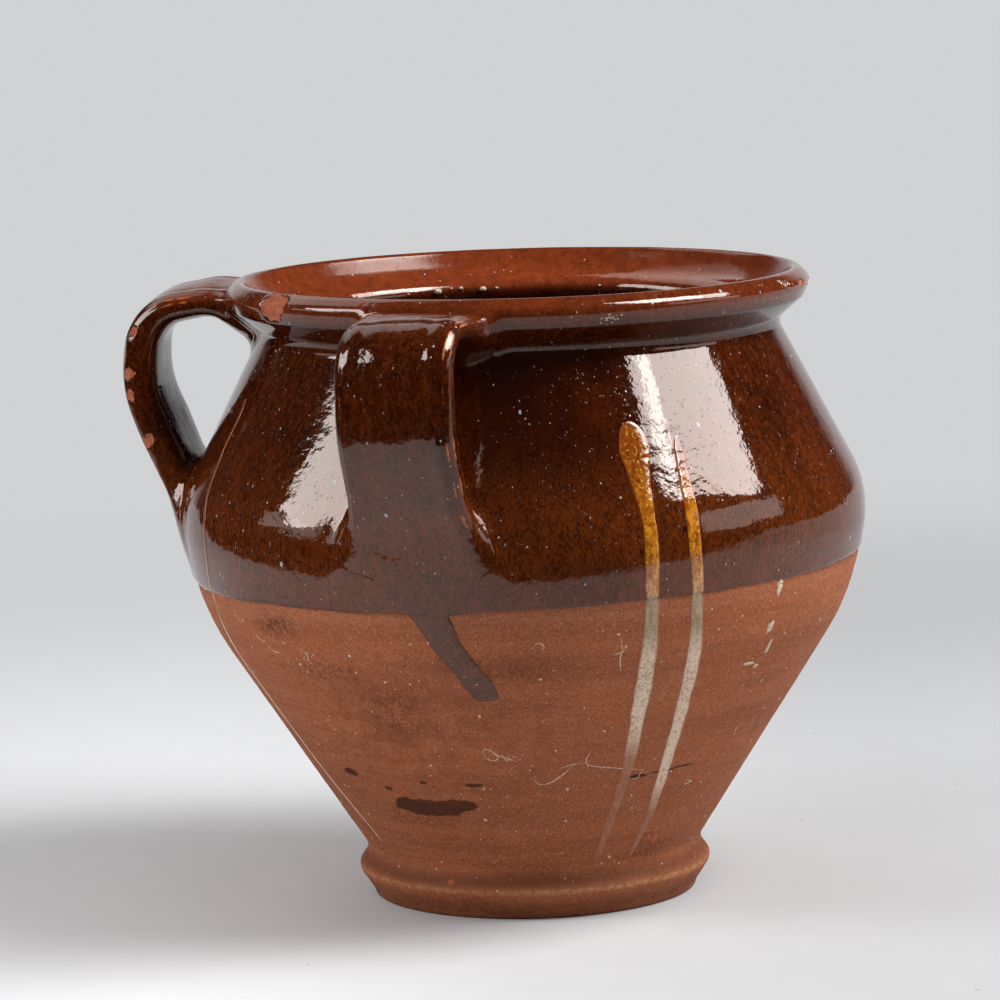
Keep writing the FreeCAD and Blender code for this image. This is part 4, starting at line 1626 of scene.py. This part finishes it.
class JAR_OT_stage(bpy.types.Operator):
    """The pale floor, the soft lamps, the surroundings and the camera"""

    bl_idname = "jar.stage"
    bl_label = "Stage"

    # Camera: distance from the axis, height, and its aim against the line to the axis
    camera_distance = 1.6
    camera_height = 0.34906
    camera_yaw = -0.004973
    camera_pitch = 0.136625
    camera_roll = -0.031006
    lens = 176.685
    sensor = 36.0
    lamp_target_height = 0.13
    floor_radii = (0.1, 0.2, 0.35, 0.6, 1.0, 2.0, 4.0, 8.0, 16.0)
    floor_sides = 96
    # Lamps: (bearing, elevation, roll, distance, width, height, share of the lamp's brightness)
    right_lamps = [(80.5, 45.0, 31.0, 1.05, 0.66, 0.52, 1.0),
                   (73.0, 51.0, 20.0, 1.06, 0.54, 0.36, 0.85),
                   (61.5, 42.0, 31.0, 1.04, 0.07, 0.24, 1.0),
                   (76.0, 14.0, 0.0, 1.05, 0.62, 0.26, 0.16)]
    left_lamps = [(-74.5, 29.0, -40.0, 1.05, 0.58, 0.36, 1.0),
                  (-83.0, 13.0, 0.0, 1.05, 0.5, 0.18, 0.16),
                  (-140.0, 47.0, 0.0, 1.7, 1.2, 0.9, 0.15)]

    def execute(self, context):
        settings = context.scene.jar_stage
        self.floor(settings)
        self.world(context, settings)
        for title, lamps in (("right_lamp", self.right_lamps), ("left_lamp", self.left_lamps)):
            for number, lamp in enumerate(lamps):
                self.lamp(f"{title}_{number}", lamp, getattr(settings, title))
        self.camera(context)
        return {"FINISHED"}

    def bearing(self, angle, elevation=0.0):
        """A direction from the jar, by its bearing from the camera's side and its elevation."""
        turn, rise = math.radians(angle + VIEW_TURN), math.radians(elevation)
        return Vector((math.sin(turn) * math.cos(rise), -math.cos(turn) * math.cos(rise),
                       math.sin(rise)))

    def lamp(self, name, lamp, brightness):
        """A soft rectangular lamp aimed at the jar."""
        angle, elevation, roll, distance, width, height, share = lamp
        light = bpy.data.lights.new(name, "AREA")
        light.shape = "RECTANGLE"
        light.size, light.size_y = width, height
        light.energy = brightness * share * 4 * width * height
        lamp_object = bpy.data.objects.new(name, light)
        target = Vector((0, 0, self.lamp_target_height))
        lamp_object.location = target + self.bearing(angle, elevation) * distance
        aim = (lamp_object.location - target).to_track_quat("Z", "Y").to_matrix()
        turn = Matrix.Rotation(math.radians(-roll), 3, "Z")
        lamp_object.rotation_euler = (aim @ turn).to_euler()
        bpy.context.scene.collection.objects.link(lamp_object)

    def camera(self, context):
        """The photograph's camera."""
        turn = Matrix.Rotation(math.radians(VIEW_TURN), 3, "Z")
        yaw, pitch, roll = self.camera_yaw, self.camera_pitch, self.camera_roll
        ahead = Vector((math.sin(yaw) * math.cos(pitch), math.cos(yaw) * math.cos(pitch),
                        -math.sin(pitch)))
        right = Vector((math.cos(yaw), -math.sin(yaw), 0))
        up = right.cross(ahead)
        rolled_right = right * math.cos(roll) + up * math.sin(roll)
        rolled_up = up * math.cos(roll) - right * math.sin(roll)
        axes = [turn @ axis for axis in (rolled_right, rolled_up, -ahead)]
        matrix = Matrix(axes).transposed().to_4x4()
        matrix.translation = turn @ Vector((0, -self.camera_distance, self.camera_height))
        data = bpy.data.cameras.new("camera")
        data.lens, data.sensor_width = self.lens, self.sensor
        data.clip_end = 100
        camera = bpy.data.objects.new("camera", data)
        camera.matrix_world = matrix
        context.scene.collection.objects.link(camera)
        context.scene.camera = camera
        context.scene.view_settings.view_transform = "Standard"

    def floor(self, settings):
        """A round floor a hair under the foot, its rings wider further out."""
        sides = self.floor_sides
        points = [(0, 0, 0)]
        for radius in self.floor_radii:
            points += [(radius * math.cos(2 * math.pi * i / sides),
                        radius * math.sin(2 * math.pi * i / sides), 0) for i in range(sides)]
        faces = [[0, 1 + i, 1 + (i + 1) % sides] for i in range(sides)]
        for ring in range(len(self.floor_radii) - 1):
            for i in range(sides):
                a, b = 1 + ring * sides + i, 1 + ring * sides + (i + 1) % sides
                faces.append([a, a + sides, b + sides, b])
        floor = make_piece("floor", np.array(points), faces, self.floor_material(settings))
        floor.location.z = -0.0001

    def floor_material(self, settings):
        """Pale paper near the jar that fades to an even backdrop, and ends at a table's edge in
        gloss. Its colour holds painted light to the left, most at the front, and painted shade to
        the right."""
        material = bpy.data.materials.new("pale_floor")
        tree, surface = empty_tree(material, "ShaderNodeOutputMaterial")
        place = object_place(tree)
        path = add(tree, "ShaderNodeLightPath").outputs
        ahead = distance_along(tree, place, self.bearing(0))
        aside = distance_along(tree, place, self.bearing(-90))
        dust = glints(tree, scaled(tree, place, (0.6, 1, 1)), 0.014, 0.0007, 0.3)
        grain = noise(tree, place, 60, 4, 0.6)
        # Painted light to the left, strongest at the front
        painted_light_left = times(tree, ranged(tree, aside, 0.0, 0.16, 0.0, 0.45),
                    ranged(tree, ahead, -0.10, 0.12, 0.5, 1.0))
        off_table = times(tree, self.off_table(tree, place, ahead, aside),
                          path["Is Glossy Ray"])
        tint = settings.floor
        for mask, over in ((ranged(tree, grain, 0.3, 0.7, 0.0, 0.06), (0.35, 0.35, 0.36)),
                           (times(tree, dust, 0.6), (0.12, 0.11, 0.10)),
                           # Painted shade to the right
                           (ranged(tree, aside, -0.16, 0.12, 0.28, 0.0), (0.10, 0.10, 0.105)),
                           (painted_light_left, (0.80, 0.80, 0.81)), (off_table, (0.02, 0.02, 0.02))):
            tint = mixed(tree, mask, tint, over)
        paper = add(tree, "ShaderNodeBsdfDiffuse", {"Color": tint})
        glow = add(tree, "ShaderNodeEmission", {"Color": settings.backdrop, "Strength": 1.0})
        distance = add(tree, "ShaderNodeVectorMath", {0: place}, operation="LENGTH")
        far = ranged(tree, distance.outputs["Value"], 0.28, 1.0)
        glossy_far = times(tree, path["Is Glossy Ray"],
                           maths(tree, "SUBTRACT", 1.0, off_table))
        seen = maths(tree, "MAXIMUM", seen_straight(tree, path), glossy_far)
        shader = add(tree, "ShaderNodeMixShader", {0: times(tree, far, seen),
                                                   1: paper.outputs[0], 2: glow.outputs[0]})
        tree.links.new(shader.outputs[0], surface)
        return material

    def off_table(self, tree, place, ahead, aside):
        """A mask past the table's front and left edges."""
        wavy = times_plus(tree, noise(tree, place, 14, 2, 0.5), 0.02, ahead)
        beyond = ranged(tree, wavy, 0.345, 0.375)
        beside = ranged(tree, times_plus(tree, ahead, 0.7, aside), 0.46, 0.50)
        return maths(tree, "MAXIMUM", beyond, beside)

    def world(self, context, settings):
        """A dim room for gloss, an even fill for the rest, and the backdrop for the camera."""
        world = bpy.data.worlds.new("studio")
        context.scene.world = world
        tree, surface = empty_tree(world, "ShaderNodeOutputWorld")
        path = add(tree, "ShaderNodeLightPath").outputs
        fill = tuple(settings.fill * share for share in (1.0, 1.0, 1.02))
        toward = add(tree, "ShaderNodeTexCoord").outputs["Generated"]
        facing = distance_along(tree, toward, -self.bearing(0))
        wall = times(tree, ranged(tree, facing, 0.80, 0.93),
                     ranged(tree, height_of(tree, toward), 0.30, 0.48, 1.0, 0.0))
        room = mixed(tree, wall, (0.02, 0.02, 0.022), settings.backdrop)
        dim = mixed(tree, path["Is Glossy Ray"], fill, room)
        tint = mixed(tree, seen_straight(tree, path), dim, settings.backdrop)
        background = add(tree, "ShaderNodeBackground", {"Color": tint, "Strength": 1.0})
        tree.links.new(background.outputs[0], surface)


class JAR_PT_pieces(bpy.types.Panel):
    """Lists the pieces of the jar"""

    bl_label = "Jar"
    bl_space_type = "VIEW_3D"
    bl_region_type = "UI"
    bl_category = "Jar"

    def draw(self, context):
        layout = self.layout
        for operator in OPERATORS:
            layout.operator(operator.bl_idname)
        for group in (context.scene.jar_sizes, context.scene.jar_colours,
                      context.scene.jar_stage):
            box = layout.box()
            for name in group.__annotations__:
                box.prop(group, name)


OPERATORS = (JAR_OT_clay_body, JAR_OT_straps, JAR_OT_glaze_coat, JAR_OT_dark_run,
             JAR_OT_amber_runs, JAR_OT_marks, JAR_OT_crumbs, JAR_OT_stage)
PROPERTY_GROUPS = {"jar_sizes": JarSizes, "jar_colours": JarColours, "jar_stage": StageSettings}


def register():
    for group in PROPERTY_GROUPS.values():
        bpy.utils.register_class(group)
    for name, group in PROPERTY_GROUPS.items():
        setattr(bpy.types.Scene, name, bpy.props.PointerProperty(type=group))
    for item in OPERATORS + (JAR_PT_pieces,):
        bpy.utils.register_class(item)


def unregister():
    for item in (JAR_PT_pieces,) + OPERATORS[::-1]:
        bpy.utils.unregister_class(item)
    for name, group in PROPERTY_GROUPS.items():
        delattr(bpy.types.Scene, name)
        bpy.utils.unregister_class(group)


def main():
    register()
    for operator in OPERATORS:
        group, name = operator.bl_idname.split(".")
        getattr(getattr(bpy.ops, group), name)()


if __name__ == "__main__":
    main()
